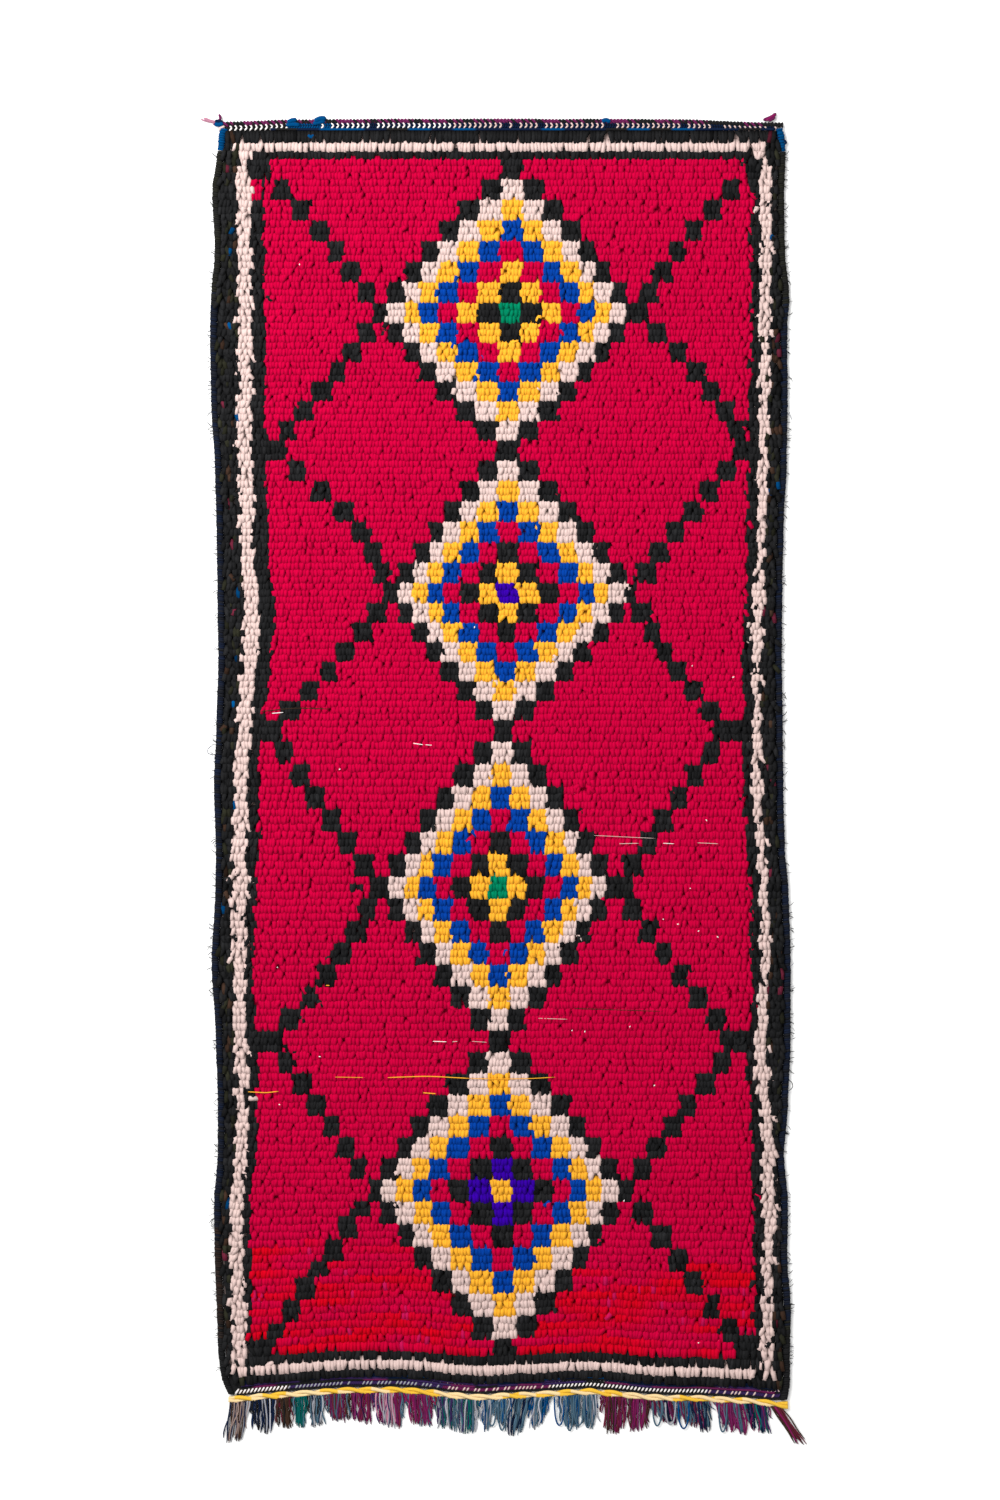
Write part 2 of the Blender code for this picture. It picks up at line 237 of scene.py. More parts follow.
@dataclass
class YarnMesh:
    """One joined mesh of many strands, with the colours and tones its material reads."""

    name: str
    slot: str
    material: bpy.types.Material
    replaces: tuple[str, ...] = ()
    points: list[np.ndarray] = field(default_factory=list)
    faces: list[np.ndarray] = field(default_factory=list)
    dyes: list[np.ndarray] = field(default_factory=list)
    tones: list[np.ndarray] = field(default_factory=list)
    lifts: list[np.ndarray] = field(default_factory=list)
    count: int = 0

    def add(self, strand: Strand, laid: np.ndarray, dyes: np.ndarray, tones: np.ndarray) -> None:
        """Add laid strands.

        Args:
            strand: The tube they are copies of.
            laid: Vertex positions, by strand, vertex and axis.
            dyes: Linear colour of each strand, or of each ring of each strand.
            tones: Brightness of each strand, about 0.5.
        """
        number, size = laid.shape[0], laid.shape[1]
        starts = self.count + np.arange(number)[:, None, None] * size
        self.points.append(laid.reshape(-1, 3))
        self.faces.append((strand.faces[None] + starts).reshape(-1, 3))
        if dyes.ndim == 3:
            self.dyes.append(dyes[:, strand.ring].reshape(-1, 4))
        else:
            self.dyes.append(np.repeat(dyes, size, axis=0))
        self.tones.append(np.repeat(tones, size))
        self.lifts.append(np.tile(strand.ring / (strand.rings - 1.0), number))
        self.count += number * size

    def finish(self) -> bpy.types.Object:
        """Build the object, dress it and say what it stands for.

        Returns:
            The finished piece, riding on the rug's only body.
        """
        points, faces = np.concatenate(self.points), np.concatenate(self.faces)
        mesh = bpy.data.meshes.new(self.name)
        mesh.vertices.add(len(points))
        mesh.vertices.foreach_set("co", points.astype(np.float32).ravel())
        mesh.loops.add(faces.size)
        mesh.loops.foreach_set("vertex_index", faces.astype(np.int32).ravel())
        mesh.polygons.add(len(faces))
        mesh.polygons.foreach_set("loop_start", np.arange(0, faces.size, 3, dtype=np.int32))
        mesh.update(calc_edges=True)
        mesh.polygons.foreach_set("use_smooth", np.ones(len(faces), bool))
        store_values(mesh, "dye", "FLOAT_COLOR", np.concatenate(self.dyes))
        store_values(mesh, "tone", "FLOAT", np.concatenate(self.tones))
        store_values(mesh, "lift", "FLOAT", np.concatenate(self.lifts))
        store_plan(mesh)
        mesh.materials.append(self.material)
        made = bpy.data.objects.new(self.name, mesh)
        bpy.context.scene.collection.objects.link(made)
        settle(made, self.replaces)
        return made


def store_values(mesh: bpy.types.Mesh, name: str, kind: str, values: np.ndarray) -> None:
    """Keep one value for each vertex under a name that a material reads.

    Args:
        mesh: The mesh that keeps them.
        name: Name of the attribute.
        kind: FLOAT or FLOAT_COLOR.
        values: The values, one row a vertex.
    """
    layer = mesh.attributes.new(name, kind, "POINT")
    socket = "color" if kind == "FLOAT_COLOR" else "value"
    layer.data.foreach_set(socket, values.astype(np.float32).ravel())


def store_plan(mesh: bpy.types.Mesh) -> None:
    """Give the mesh a slanting plan layout, so that its steep faces have room as well."""
    points = np.empty(len(mesh.vertices) * 3, np.float32)
    mesh.vertices.foreach_get("co", points)
    points = points.reshape(-1, 3)
    plan = np.stack((points[:, 0] + 0.5 * points[:, 2], points[:, 1] + 0.7 * points[:, 2]), 1)
    low, high = plan.min(axis=0), plan.max(axis=0)
    plan = 0.002 + 0.996 * (plan - low) / np.maximum(high - low, 1e-6)
    corners = np.empty(len(mesh.loops), np.int32)
    mesh.loops.foreach_get("vertex_index", corners)
    layer = mesh.uv_layers.new(name="OFBake")
    layer.data.foreach_set("uv", plan[corners].astype(np.float32).ravel())


def settle(piece: bpy.types.Object, stands_for: Sequence[str]) -> None:
    """Ride a piece on the rug and hide the solids it stands for.

    Args:
        piece: The finished piece.
        stands_for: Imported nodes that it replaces.
    """
    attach(piece, "root")
    if stands_for:
        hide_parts(*stands_for)
    piece.data.calc_loop_triangles()
    LOG.info("%s: %d triangles", piece.name, len(piece.data.loop_triangles))


class Anchor(NamedTuple):
    """A knot row, counted from the twined end, and its level and spine there."""

    row: float
    y: float
    spine: float


class Lozenge(NamedTuple):
    """A stepped lozenge: its middle row, ring dyes from the middle out, and reaches."""

    row: float
    rings: tuple[Dye, ...]
    left_reach: float
    right_reach: float
    left_tip: float
    right_tip: float


class Run(NamedTuple):
    """Black squares stepping between two places on the zigzag at one side."""

    row: float
    start: float
    end: float
    count: int
    bow: float


class Border(NamedTuple):
    """The cream line and the inner edge of a side border at one level."""

    y: float
    outer: float
    inner: float
    field: float


class Block(NamedTuple):
    """A block of one dye: its sides and its rows."""

    left: float
    right: float
    first: float
    last: float
    dye: Dye = Dye.BLACK


RED, OUTER = Dye.CRIMSON, (Dye.BLUE, Dye.YELLOW, Dye.CREAM, Dye.BLACK)
ROWS = 176
ANCHORS = (
    Anchor(0.0, 1.325, 0.024),
    Anchor(3.0, 1.273, 0.024),
    Anchor(4.5, 1.253, 0.024),
    Anchor(25.5, 0.959, 0.019),
    Anchor(46.5, 0.679, 0.013),
    Anchor(67.5, 0.387, 0.012),
    Anchor(88.5, 0.108, 0.003),
    Anchor(109.5, -0.213, -0.007),
    Anchor(130.5, -0.527, -0.005),
    Anchor(151.5, -0.831, 0.001),
    Anchor(172.5, -1.157, 0.007),
    Anchor(174.0, -1.186, 0.007),
    Anchor(176.0, -1.224, 0.007),
)
LOZENGES = (
    Lozenge(25.5, (Dye.GREEN, Dye.BLACK, Dye.YELLOW, RED, *OUTER), 0.253, 0.235, 0.282, 0.278),
    Lozenge(67.5, (Dye.VIOLET, Dye.YELLOW, Dye.BLACK, RED, *OUTER), 0.222, 0.242, 0.253, 0.265),
    Lozenge(109.5, (Dye.GREEN, Dye.YELLOW, Dye.BLACK, RED, *OUTER), 0.222, 0.221, 0.263, 0.273),
    Lozenge(151.5, (Dye.YELLOW, Dye.VIOLET, Dye.BLACK, RED, *OUTER), 0.248, 0.237, 0.271, 0.268),
)
CELL_SHARES = np.array((0.088, 0.263, 0.43, 0.588, 0.728, 0.86, 1.0))
CELL_ROWS = 3.0
SPAN_ROWS = 21.0
RUNS = (
    Run(4.5, -0.492, -0.248, 6, 0.016),
    Run(25.5, -0.248, -0.473, 6, 0.010),
    Run(46.5, -0.473, -0.226, 6, 0.045),
    Run(67.5, -0.226, -0.473, 6, 0.014),
    Run(88.5, -0.473, -0.248, 6, -0.004),
    Run(109.5, -0.248, -0.471, 6, 0.018),
    Run(130.5, -0.471, -0.261, 6, 0.004),
    Run(151.5, -0.261, -0.490, 7, 0.004),
    Run(4.5, 0.512, 0.276, 6, -0.018),
    Run(25.5, 0.276, 0.500, 6, 0.024),
    Run(46.5, 0.500, 0.265, 6, -0.010),
    Run(67.5, 0.265, 0.463, 6, -0.018),
    Run(88.5, 0.463, 0.240, 6, -0.006),
    Run(109.5, 0.240, 0.479, 6, -0.012),
    Run(130.5, 0.479, 0.253, 6, 0.0),
    Run(151.5, 0.253, 0.502, 6, 0.0),
)
SQUARE_HALF = (0.0165, 0.0205)
LEFT_BORDER = (
    Border(1.306, -0.537, -0.512, -0.485),
    Border(1.081, -0.539, -0.510, -0.483),
    Border(0.672, -0.539, -0.510, -0.481),
    Border(0.427, -0.530, -0.504, -0.473),
    Border(0.327, -0.526, -0.492, -0.461),
    Border(0.161, -0.537, -0.506, -0.481),
    Border(0.069, -0.541, -0.512, -0.494),
    Border(-0.104, -0.549, -0.518, -0.496),
    Border(-0.247, -0.553, -0.518, -0.502),
    Border(-0.370, -0.549, -0.522, -0.506),
    Border(-0.574, -0.543, -0.518, -0.498),
    Border(-0.738, -0.541, -0.518, -0.496),
    Border(-0.861, -0.555, -0.528, -0.514),
    Border(-1.004, -0.553, -0.526, -0.508),
    Border(-1.224, -0.547, -0.520, -0.516),
)
RIGHT_BORDER = (
    Border(1.306, 0.526, 0.508, 0.490),
    Border(1.255, 0.551, 0.528, 0.508),
    Border(0.877, 0.549, 0.528, 0.508),
    Border(0.427, 0.535, 0.518, 0.498),
    Border(0.274, 0.532, 0.508, 0.490),
    Border(0.151, 0.528, 0.514, 0.494),
    Border(-0.043, 0.532, 0.512, 0.494),
    Border(-0.217, 0.545, 0.526, 0.506),
    Border(-0.309, 0.549, 0.530, 0.510),
    Border(-0.452, 0.545, 0.524, 0.510),
    Border(-0.564, 0.543, 0.516, 0.502),
    Border(-0.697, 0.553, 0.530, 0.512),
    Border(-0.891, 0.561, 0.535, 0.512),
    Border(-1.004, 0.553, 0.532, 0.516),
    Border(-1.147, 0.551, 0.528, 0.516),
    Border(-1.224, 0.561, 0.541, 0.518),
)
BLOCKS = (
    Block(-0.520, -0.471, 2.5, 6.0),
    Block(-0.504, -0.440, 45.0, 48.0),
    Block(-0.498, -0.447, 87.0, 90.0),
    Block(-0.503, -0.445, 129.0, 132.0),
    Block(-0.520, -0.465, 171.0, 174.0),
    Block(-0.314, -0.285, 108.5, 110.0),
    Block(0.496, 0.530, 2.5, 6.0),
    Block(0.473, 0.528, 45.0, 48.0),
    Block(0.430, 0.500, 87.0, 90.0),
    Block(0.449, 0.512, 129.0, 132.0),
    Block(0.476, 0.528, 170.0, 174.0),
    Block(-0.511, -0.488, 6.0, 9.0, Dye.CRIMSON),
)


class Chart:
    """The design: which dye a knot has."""

    ROW_TOOTH = 0.0019
    TOP_LINES = (1.0, 2.0, 3.0)
    BOTTOM_LINES = (173.0, 174.0, 175.0)

    def __init__(self, outline: Outline, rng: np.random.Generator) -> None:
        """Set out the rows.

        Args:
            outline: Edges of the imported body.
            rng: Source of the small unevenness of hand knotting.
        """
        self.outline = outline
        self.rows = np.array([a.row for a in ANCHORS])
        self.row_levels = np.array([a.y for a in ANCHORS])
        self.spines = np.array([a.spine for a in ANCHORS])
        self.teeth = rng.normal(0.0, self.ROW_TOOTH, (ROWS + 1, 2))
        self.squares = [rng.uniform(*SQUARE_HALF, run.count) for run in RUNS]
        self.middle_bottom = float(outline.bottom(np.array([0.0]))[0])

    def level(self, row: np.ndarray, x: np.ndarray) -> np.ndarray:
        """Level of a row at a place across the rug; the last rows follow the wavy end.

        Args:
            row: Rows, with their fractions.
            x: Places across the rug.

        Returns:
            The y of each.
        """
        flat = np.interp(row, self.rows, self.row_levels)
        share = np.clip((row - 140.0) / (ROWS - 140.0), 0.0, 1.0) ** 2
        wave = self.outline.bottom(x) - self.middle_bottom
        return flat + share * np.clip(wave, -0.012, 0.012)

    def dyes(self, x: np.ndarray, row: np.ndarray, knot: np.ndarray) -> np.ndarray:
        """Dye of each knot.

        Args:
            x: Places across the rug.
            row: Whole row numbers.
            knot: A small unevenness of each knot, in metres.

        Returns:
            Palette places.
        """
        middle = row + 0.5
        y = np.interp(middle, self.rows, self.row_levels)
        shifted = x + knot
        found = np.full(x.shape, code(Dye.CRIMSON))
        found[self.redder(x, y, row)] = code(Dye.SCARLET)
        for index, run in enumerate(RUNS):
            self.paint_run(found, shifted, middle, run, self.squares[index])
        for lozenge in LOZENGES:
            self.paint_lozenge(found, shifted, middle, lozenge)
        self.paint_borders(found, shifted, y, row)
        for block in BLOCKS:
            inside = (shifted > block.left) & (shifted < block.right)
            inside &= (middle > block.first) & (middle < block.last)
            found[inside] = code(block.dye)
        return found

    @staticmethod
    def redder(x: np.ndarray, y: np.ndarray, row: np.ndarray) -> np.ndarray:
        """Knots of the second dye lot, towards the fringed end."""
        start = -0.945 - 0.045 * np.clip((x + 0.1) / 0.3, 0.0, 1.0)
        start = start + 0.006 * np.sin(row * 1.7 + x * 9.0)
        return y < start

    @staticmethod
    def paint_run(
        found: np.ndarray, x: np.ndarray, middle: np.ndarray, run: Run, halves: np.ndarray
    ) -> None:
        """Paint the black squares of one zigzag run.

        Args:
            found: Palette places, changed in place.
            x: Places across the rug.
            middle: Middle of each knot's row.
            run: The run.
            halves: Half width of each of its squares.
        """
        pitch = SPAN_ROWS / (run.count + 1)
        for step, half in enumerate(halves, start=1):
            share = step / (run.count + 1)
            centre = run.start + (run.end - run.start) * share
            centre += run.bow * math.sin(math.pi * share)
            inside = np.abs(x - centre) < half
            inside &= np.abs(middle - run.row - step * pitch) < pitch / 2.0
            found[inside] = code(Dye.BLACK)

    def paint_lozenge(
        self, found: np.ndarray, x: np.ndarray, middle: np.ndarray, lozenge: Lozenge
    ) -> None:
        """Paint one stepped lozenge, ring by ring.

        Args:
            found: Palette places, changed in place.
            x: Places across the rug.
            middle: Middle of each knot's row.
            lozenge: The lozenge.
        """
        away = x - np.interp(middle, self.rows, self.spines)
        down = np.abs(np.rint((middle - lozenge.row) / CELL_ROWS)).astype(int)
        column = np.empty(x.shape, int)
        for side, reach, tip in (
            (-1.0, lozenge.left_reach, lozenge.left_tip),
            (1.0, lozenge.right_reach, lozenge.right_tip),
        ):
            here = away * side >= 0.0
            edges = np.append(CELL_SHARES * reach, tip)
            column[here] = np.searchsorted(edges, np.abs(away[here]))
        ring = down + column
        for number, dye in enumerate(lozenge.rings):
            found[(ring == number) & (down < len(lozenge.rings))] = code(dye)

    def paint_borders(
        self, found: np.ndarray, x: np.ndarray, y: np.ndarray, row: np.ndarray
    ) -> None:
        """Paint the black borders and their cream lines.

        Args:
            found: Palette places, changed in place.
            x: Places across the rug.
            y: Levels.
            row: Whole row numbers.
        """
        tooth = self.teeth[np.clip(row, 0, ROWS)]
        cream = np.zeros(x.shape, bool)
        black = (row < self.TOP_LINES[2]) | (row >= self.BOTTOM_LINES[0])
        for side, table, which in ((-1.0, LEFT_BORDER, 0), (1.0, RIGHT_BORDER, 1)):
            levels = [b.y for b in reversed(table)]
            outer = np.interp(y, levels, [b.outer for b in reversed(table)])
            inner = np.interp(y, levels, [b.inner for b in reversed(table)])
            field = np.interp(y, levels, [b.field for b in reversed(table)])
            black |= (x + 0.5 * tooth[:, which]) * side > field * side
            line = (x + tooth[:, which]) * side > inner * side
            line &= (x + tooth[:, 1 - which]) * side < outer * side
            cream |= line & (row >= 1) & (row < ROWS - 1)
        found[black] = code(Dye.BLACK)
        across = (row == 1) & (x > -0.537) & (x < 0.545)
        across |= (row == ROWS - 2) & (x > -0.508) & (x < 0.524)
        found[cream | across] = code(Dye.CREAM)


class Knots(NamedTuple):
    """Every knot of the pile: place, row and dye."""

    x: np.ndarray
    row: np.ndarray
    dye: np.ndarray


@dataclass
class Pile:
    """The knotted pile: locks of yarn that lie over the row below them, like shingles."""

    columns: int = 160
    lock_width: float = 0.0104
    overhang: float = 0.0075
    root_height: float = 0.0082
    top_height: float = 0.0124
    lock_thickness: float = 0.0042
    side_margin: float = 0.0030
    crimson_parts: int = 4

    def knots(self, chart: Chart, rng: np.random.Generator) -> Knots:
        """Lay out the knots row by row and read their dyes off the chart.

        Args:
            chart: The design.
            rng: Source of unevenness.

        Returns:
            The knots.
        """
        row, column = np.divmod(np.arange(ROWS * self.columns), self.columns)
        share = (column + 0.5 * (row % 2) + 0.25 + rng.uniform(-0.16, 0.16, row.size)) / self.columns
        y = np.interp(row + 0.5, chart.rows, chart.row_levels)
        left = chart.outline.left(y) + self.side_margin
        right = chart.outline.right(y) - self.side_margin
        x = left + np.clip(share, 0.0, 1.0) * (right - left)
        dye = chart.dyes(x, row, rng.normal(0.0, 0.0012, x.size))
        return Knots(x, row, dye)

    def locks(
        self, knots: Knots, chart: Chart, strand: Strand, rng: np.random.Generator
    ) -> np.ndarray:
        """Shape one lock for each knot.

        Args:
            knots: The knots.
            chart: The design, which gives the levels of the rows.
            strand: The tube that a lock is made of.
            rng: Source of unevenness.

        Returns:
            Vertex positions, by lock, vertex and axis.
        """
        number = knots.x.size
        start = chart.level(knots.row + 0.12, knots.x)
        pitch = start - chart.level(knots.row + 1.12, knots.x)
        edge = np.clip((np.abs(knots.x) - 0.47) / 0.05, 0.0, 1.0)
        yaw = rng.normal(0.0, 0.10 + 0.10 * edge, number)
        yaw += np.where(rng.random(number) < 0.08, rng.normal(0.0, 0.4, number), 0.0)
        length = (pitch + self.overhang) * rng.uniform(0.93, 1.10, number)
        height = self.top_height + rng.normal(0.0, 0.0004, number)
        run = np.stack((np.sin(yaw), -np.cos(yaw), np.zeros(number)), axis=1)
        across = np.stack((np.cos(yaw), np.sin(yaw), np.zeros(number)), axis=1)
        root = np.stack((knots.x, start, np.full(number, self.root_height)), axis=1)
        paths = np.empty((number, 3, 3))
        for ring, (share, rise) in enumerate(((0.0, 0.0), (0.44, 0.92), (1.0, 0.98))):
            paths[:, ring] = root + run * (length * share)[:, None]
            paths[:, ring, 2] += (height - self.root_height) * rise
        paths[:, 2, 0] += rng.normal(0.0, 0.0010, number)
        width = self.lock_width * rng.uniform(0.90, 1.10, number)
        widths = width[:, None] * np.array((0.85, 1.0, 0.84))
        heights = np.full((number, 1), self.lock_thickness) * np.array((0.9, 1.0, 0.36))
        return strand.along(paths, widths, heights, across)

    def build(
        self, chart: Chart, finishes: dict[Dye, "YarnFinish"], rng: np.random.Generator
    ) -> tuple[Knots, list[bpy.types.Object]]:
        """Knot the pile, one piece for each dye and four for the crimson field.

        Args:
            chart: The design.
            finishes: Finish of each dye.
            rng: Source of unevenness.

        Returns:
            The knots and the finished pieces.
        """
        strand = Strand(sides=5, cuts=1)
        knots = self.knots(chart, rng)
        laid = self.locks(knots, chart, strand, rng)
        tones = np.clip(0.5 + rng.normal(0.0, 0.13, knots.x.size), 0.0, 1.0)
        # Painted shade: the row streaks darken stretches of locks towards the fringed end, on top of their random tone.
        tones += self.row_tone_and_shade(knots, rng)
        dyes = np.where(knots.dye == code(Dye.SCARLET), code(Dye.CRIMSON), knots.dye)
        colours = PALETTE[knots.dye].copy()
        self.patch(colours, knots, rng)
        made = []
        for dye, finish in finishes.items():
            mine = dyes == code(dye)
            parts = self.crimson_parts if dye is Dye.CRIMSON else 1
            material = finish.dress()
            for part in range(parts):
                chosen = mine & (knots.row * parts // ROWS == part)
                name = finish.slot if parts == 1 else f"{finish.slot}_{part + 1}"
                mesh = YarnMesh(name, finish.slot, material)
                mesh.add(strand, laid[chosen], colours[chosen], tones[chosen])
                made.append(mesh.finish())
        return knots, made

    @staticmethod
    def row_tone_and_shade(knots: Knots, rng: np.random.Generator) -> np.ndarray:
        """Rows that came out darker or lighter at random, and dark streaks along the rows, stronger towards the fringed
        end: painted shade for the shadow lines between rows.
        """
        by_row = rng.normal(0.0, 0.035, ROWS)[knots.row]
        # Painted shade: smooth dark streaks along each row, deeper in the lower rows, stand in for the shadow lines
        # between rows.
        shade = np.array([0.06, 0.12, 0.20])[np.searchsorted((88, 150), knots.row)]
        shade_streak = np.empty(knots.x.size)
        for row in range(ROWS):
            mine = knots.row == row
            shade_streak[mine] = smooth_noise(knots.x[mine], 0.055, rng)
        return by_row + shade * np.minimum(shade_streak, 0.25)

    @staticmethod
    def patch(colours: np.ndarray, knots: Knots, rng: np.random.Generator) -> None:
        """Mix the dye lots of the lower field and the flecks of the dark borders.

        Args:
            colours: Colour of each knot, changed in place.
            knots: The knots.
            rng: Source of the flecks.
        """
        scarlet = knots.dye == code(Dye.SCARLET)
        blend = np.empty(knots.x.size)
        for row in range(ROWS):
            mine = knots.row == row
            blend[mine] = smooth_noise(knots.x[mine], 0.07, rng)
        blend = np.clip(0.45 + 0.75 * blend, 0.0, 1.0)[:, None]
        mixed = PALETTE[code(Dye.SCARLET)] * blend + PALETTE[code(Dye.CRIMSON)] * (1.0 - blend)
        colours[scarlet] = mixed[scarlet]
        stray = scarlet & (rng.random(knots.x.size) < 0.02)
        colours[stray] = 0.75 * PALETTE[code(Dye.CRIMSON)] + 0.6 * PALETTE[code(Dye.MAGENTA)]
        border = (knots.dye == code(Dye.BLACK)) & (np.abs(knots.x) > 0.53)
        for dye, share in ((Dye.PEACOCK, 0.010), (Dye.MAROON, 0.014), (Dye.UMBER, 0.05), (Dye.OLIVE, 0.10)):
            fleck = border & (rng.random(knots.x.size) < share)
            colours[fleck] = PALETTE[code(dye)]


@dataclass
class Ground:
    """The woven ground under the pile: a thin ribbed sheet with the design on its back."""

    thickness: float = 0.0032
    end_thickness: float = 0.0052
    rib: float = 0.0005
    across: int = 62
    inset: float = 0.0004

    def build(self, chart: Chart, finish: "YarnFinish") -> bpy.types.Object:
        """Weave the sheet.

        Args:
            chart: The design, whose dyes show on the back.
            finish: Finish of the ground yarn.

        Returns:
            The finished sheet.
        """
        outline = chart.outline
        rows = np.concatenate((np.linspace(-1.6, -0.3, 4), np.arange(0, ROWS + 1), ROWS + np.linspace(0.4, 2.6, 5)))
        shape = bmesh.new()
        bmesh.ops.create_grid(
            shape, x_segments=self.across, y_segments=len(rows) - 1, size=1.0
        )
        count = len(rows) - 1
        grid = np.array([v.co[:2] for v in shape.verts])
        share = (grid[:, 0] + 1.0) / 2.0
        index = np.rint((1.0 - grid[:, 1]) / 2.0 * count).astype(int)
        row = rows[index]
        level = np.interp(np.clip(row, 0, ROWS), chart.rows, chart.row_levels)
        left, right = outline.left(level) + self.inset, outline.right(level) - self.inset
        x = left + share * (right - left)
        y = chart.level(np.clip(row, 0, ROWS), x)
        top, bottom = outline.top(x) - self.inset, outline.bottom(x) + self.inset
        y = np.where(row < 0, y + (top - y) * np.clip(-row / 1.6, 0, 1), y)
        y = np.where(row > ROWS, y + (bottom - y) * np.clip((row - ROWS) / 2.6, 0, 1), y)
        ends = (row < 0) | (row > ROWS)
        z = np.where(ends, self.end_thickness, self.thickness)
        z = z + self.rib * np.where(np.rint(share * self.across).astype(int) % 2, 1.0, -1.0)
        for vertex, place in zip(shape.verts, np.stack((x, y, z), axis=1)):
            vertex.co = place
        pushed = bmesh.ops.extrude_face_region(shape, geom=shape.faces[:])
        for item in pushed["geom"]:
            if isinstance(item, bmesh.types.BMVert):
                item.co.z = 0.0004
        bmesh.ops.recalc_face_normals(shape, faces=shape.faces)
        mesh = bpy.data.meshes.new("ground_weave")
        shape.to_mesh(mesh)
        shape.free()
        self.colour(mesh, chart)
        mesh.materials.append(finish.dress())
        made = bpy.data.objects.new("ground_weave", mesh)
        bpy.context.scene.collection.objects.link(made)
        settle(made, ("rug_body",))
        return made

    @staticmethod
    def colour(mesh: bpy.types.Mesh, chart: Chart) -> None:
        """Give the back of each knot its dye, and the ends their dark weft."""
        points = np.empty(len(mesh.vertices) * 3, np.float32)
        mesh.vertices.foreach_get("co", points)
        points = points.reshape(-1, 3)
        row = np.interp(-points[:, 1], -chart.row_levels, chart.rows)
        whole = np.clip(row.astype(int), 0, ROWS - 1)
        dyes = chart.dyes(points[:, 0].astype(float), whole, np.zeros(len(points)))
        colours = PALETTE[dyes].copy()
        ends = (row <= 0.01) | (row >= ROWS - 0.01)
        colours[ends] = PALETTE[code(Dye.BLACK)]
        store_values(mesh, "dye", "FLOAT_COLOR", colours)
        store_values(mesh, "tone", "FLOAT", np.full(len(points), 0.42))
        store_values(mesh, "lift", "FLOAT", np.ones(len(points)))
        store_plan(mesh)


def dye_rows(names: Sequence[Dye]) -> np.ndarray:
    """Linear colours of a sequence of dyes, one row each."""
    return PALETTE[[code(dye) for dye in names]]


@dataclass
class OvercastSide:
    """Yarn wrapped closely round the outermost warps of one side."""

    node: str
    slot: str
    height: float
    dye: Dye
    width: float = 0.0160
    pitch: float = 0.0046
    yarn: float = 0.0052
    slant: float = 0.0035
    end_dyes: tuple[Dye, ...] = ()

    def build(self, outline: Outline, finish: "YarnFinish", rng: np.random.Generator) -> bpy.types.Object:
        """Wrap the side.

        Args:
            outline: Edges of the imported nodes.
            finish: Finish of the wrapping yarn.
            rng: Source of unevenness.

        Returns:
            The finished overcasting.
        """
        edge = outline.sides[self.node]
        outward = -1.0 if self.node.endswith("left") else 1.0
        number = int((edge.last - edge.first) / self.pitch)
        y = np.linspace(edge.first, edge.last, number)
        middle = edge.at(y) - outward * self.width / 2.0
        wrap = Strand(sides=5, cuts=3)
        turn = np.linspace(math.radians(-28.0), math.radians(208.0), wrap.rings)
        reach = self.width / 2.0 - 0.0010 + rng.normal(0.0, 0.0004, number)[:, None]
        rise = self.height / 2.0 - 0.0010
        paths = np.empty((number, wrap.rings, 3))
        paths[:, :, 0] = middle[:, None] - outward * np.cos(turn) * reach
        paths[:, :, 1] = y[:, None] + self.slant * np.linspace(-0.5, 0.5, wrap.rings)
        paths[:, :, 1] += rng.normal(0.0, 0.0005, number)[:, None]
        paths[:, :, 2] = self.height / 2.0 + np.sin(turn) * rise
        widths = np.full((number, wrap.rings), self.yarn)
        across = np.tile((0.0, 1.0, 0.0), (number, 1))
        mesh = YarnMesh(self.node + "_yarn", self.slot, finish.dress(), (self.node,))
        colours = np.tile(np.array(self.dye.linear), (number, 1))
        self.tint(colours, y, outward, rng)
        laid = wrap.along(paths, widths, widths * 0.55, across)
        mesh.add(wrap, laid, colours, np.clip(rng.normal(0.5, 0.15, number), 0, 1))
        core = Strand(sides=8, cuts=118)
        level = np.linspace(edge.first, edge.last, core.rings)
        spine = np.stack(
            (edge.at(level) - outward * self.width / 2.0, level, np.full(core.rings, self.height / 2.0)), 1
        )[None]
        ones = np.ones((1, core.rings))
        tube = core.along(spine, ones * (self.width - 0.003), ones * (self.height - 0.003), np.array([[1.0, 0.0, 0.0]]))
        mesh.add(core, tube, colours[:1], np.array([0.3]))
        return mesh.finish()

    def tint(self, colours: np.ndarray, y: np.ndarray, outward: float, rng: np.random.Generator) -> None:
        """Change the yarn down the side: olive black first, navy after, brown and black last.

        Args:
            colours: Colour of each wrap, changed in place.
            y: Level of each wrap.
            outward: -1 at the left side, 1 at the right.
            rng: Source of unevenness.
        """
        if not self.node.startswith("selvedge"):
            return
        wander = y + rng.normal(0.0, 0.02, y.size)
        colours[wander > 0.97] = Dye.OLIVE.linear
        low = -0.94 if outward < 0 else -1.10
        colours[wander < low] = (Dye.UMBER if outward < 0 else Dye.OLIVE).linear
        colours[wander < -1.14] = Dye.BLACK.linear
        depth = rng.uniform(0.35, 0.95, y.size)[:, None]
        colours[:] = colours * (1.0 - depth) + np.array(Dye.BLACK.linear) * depth


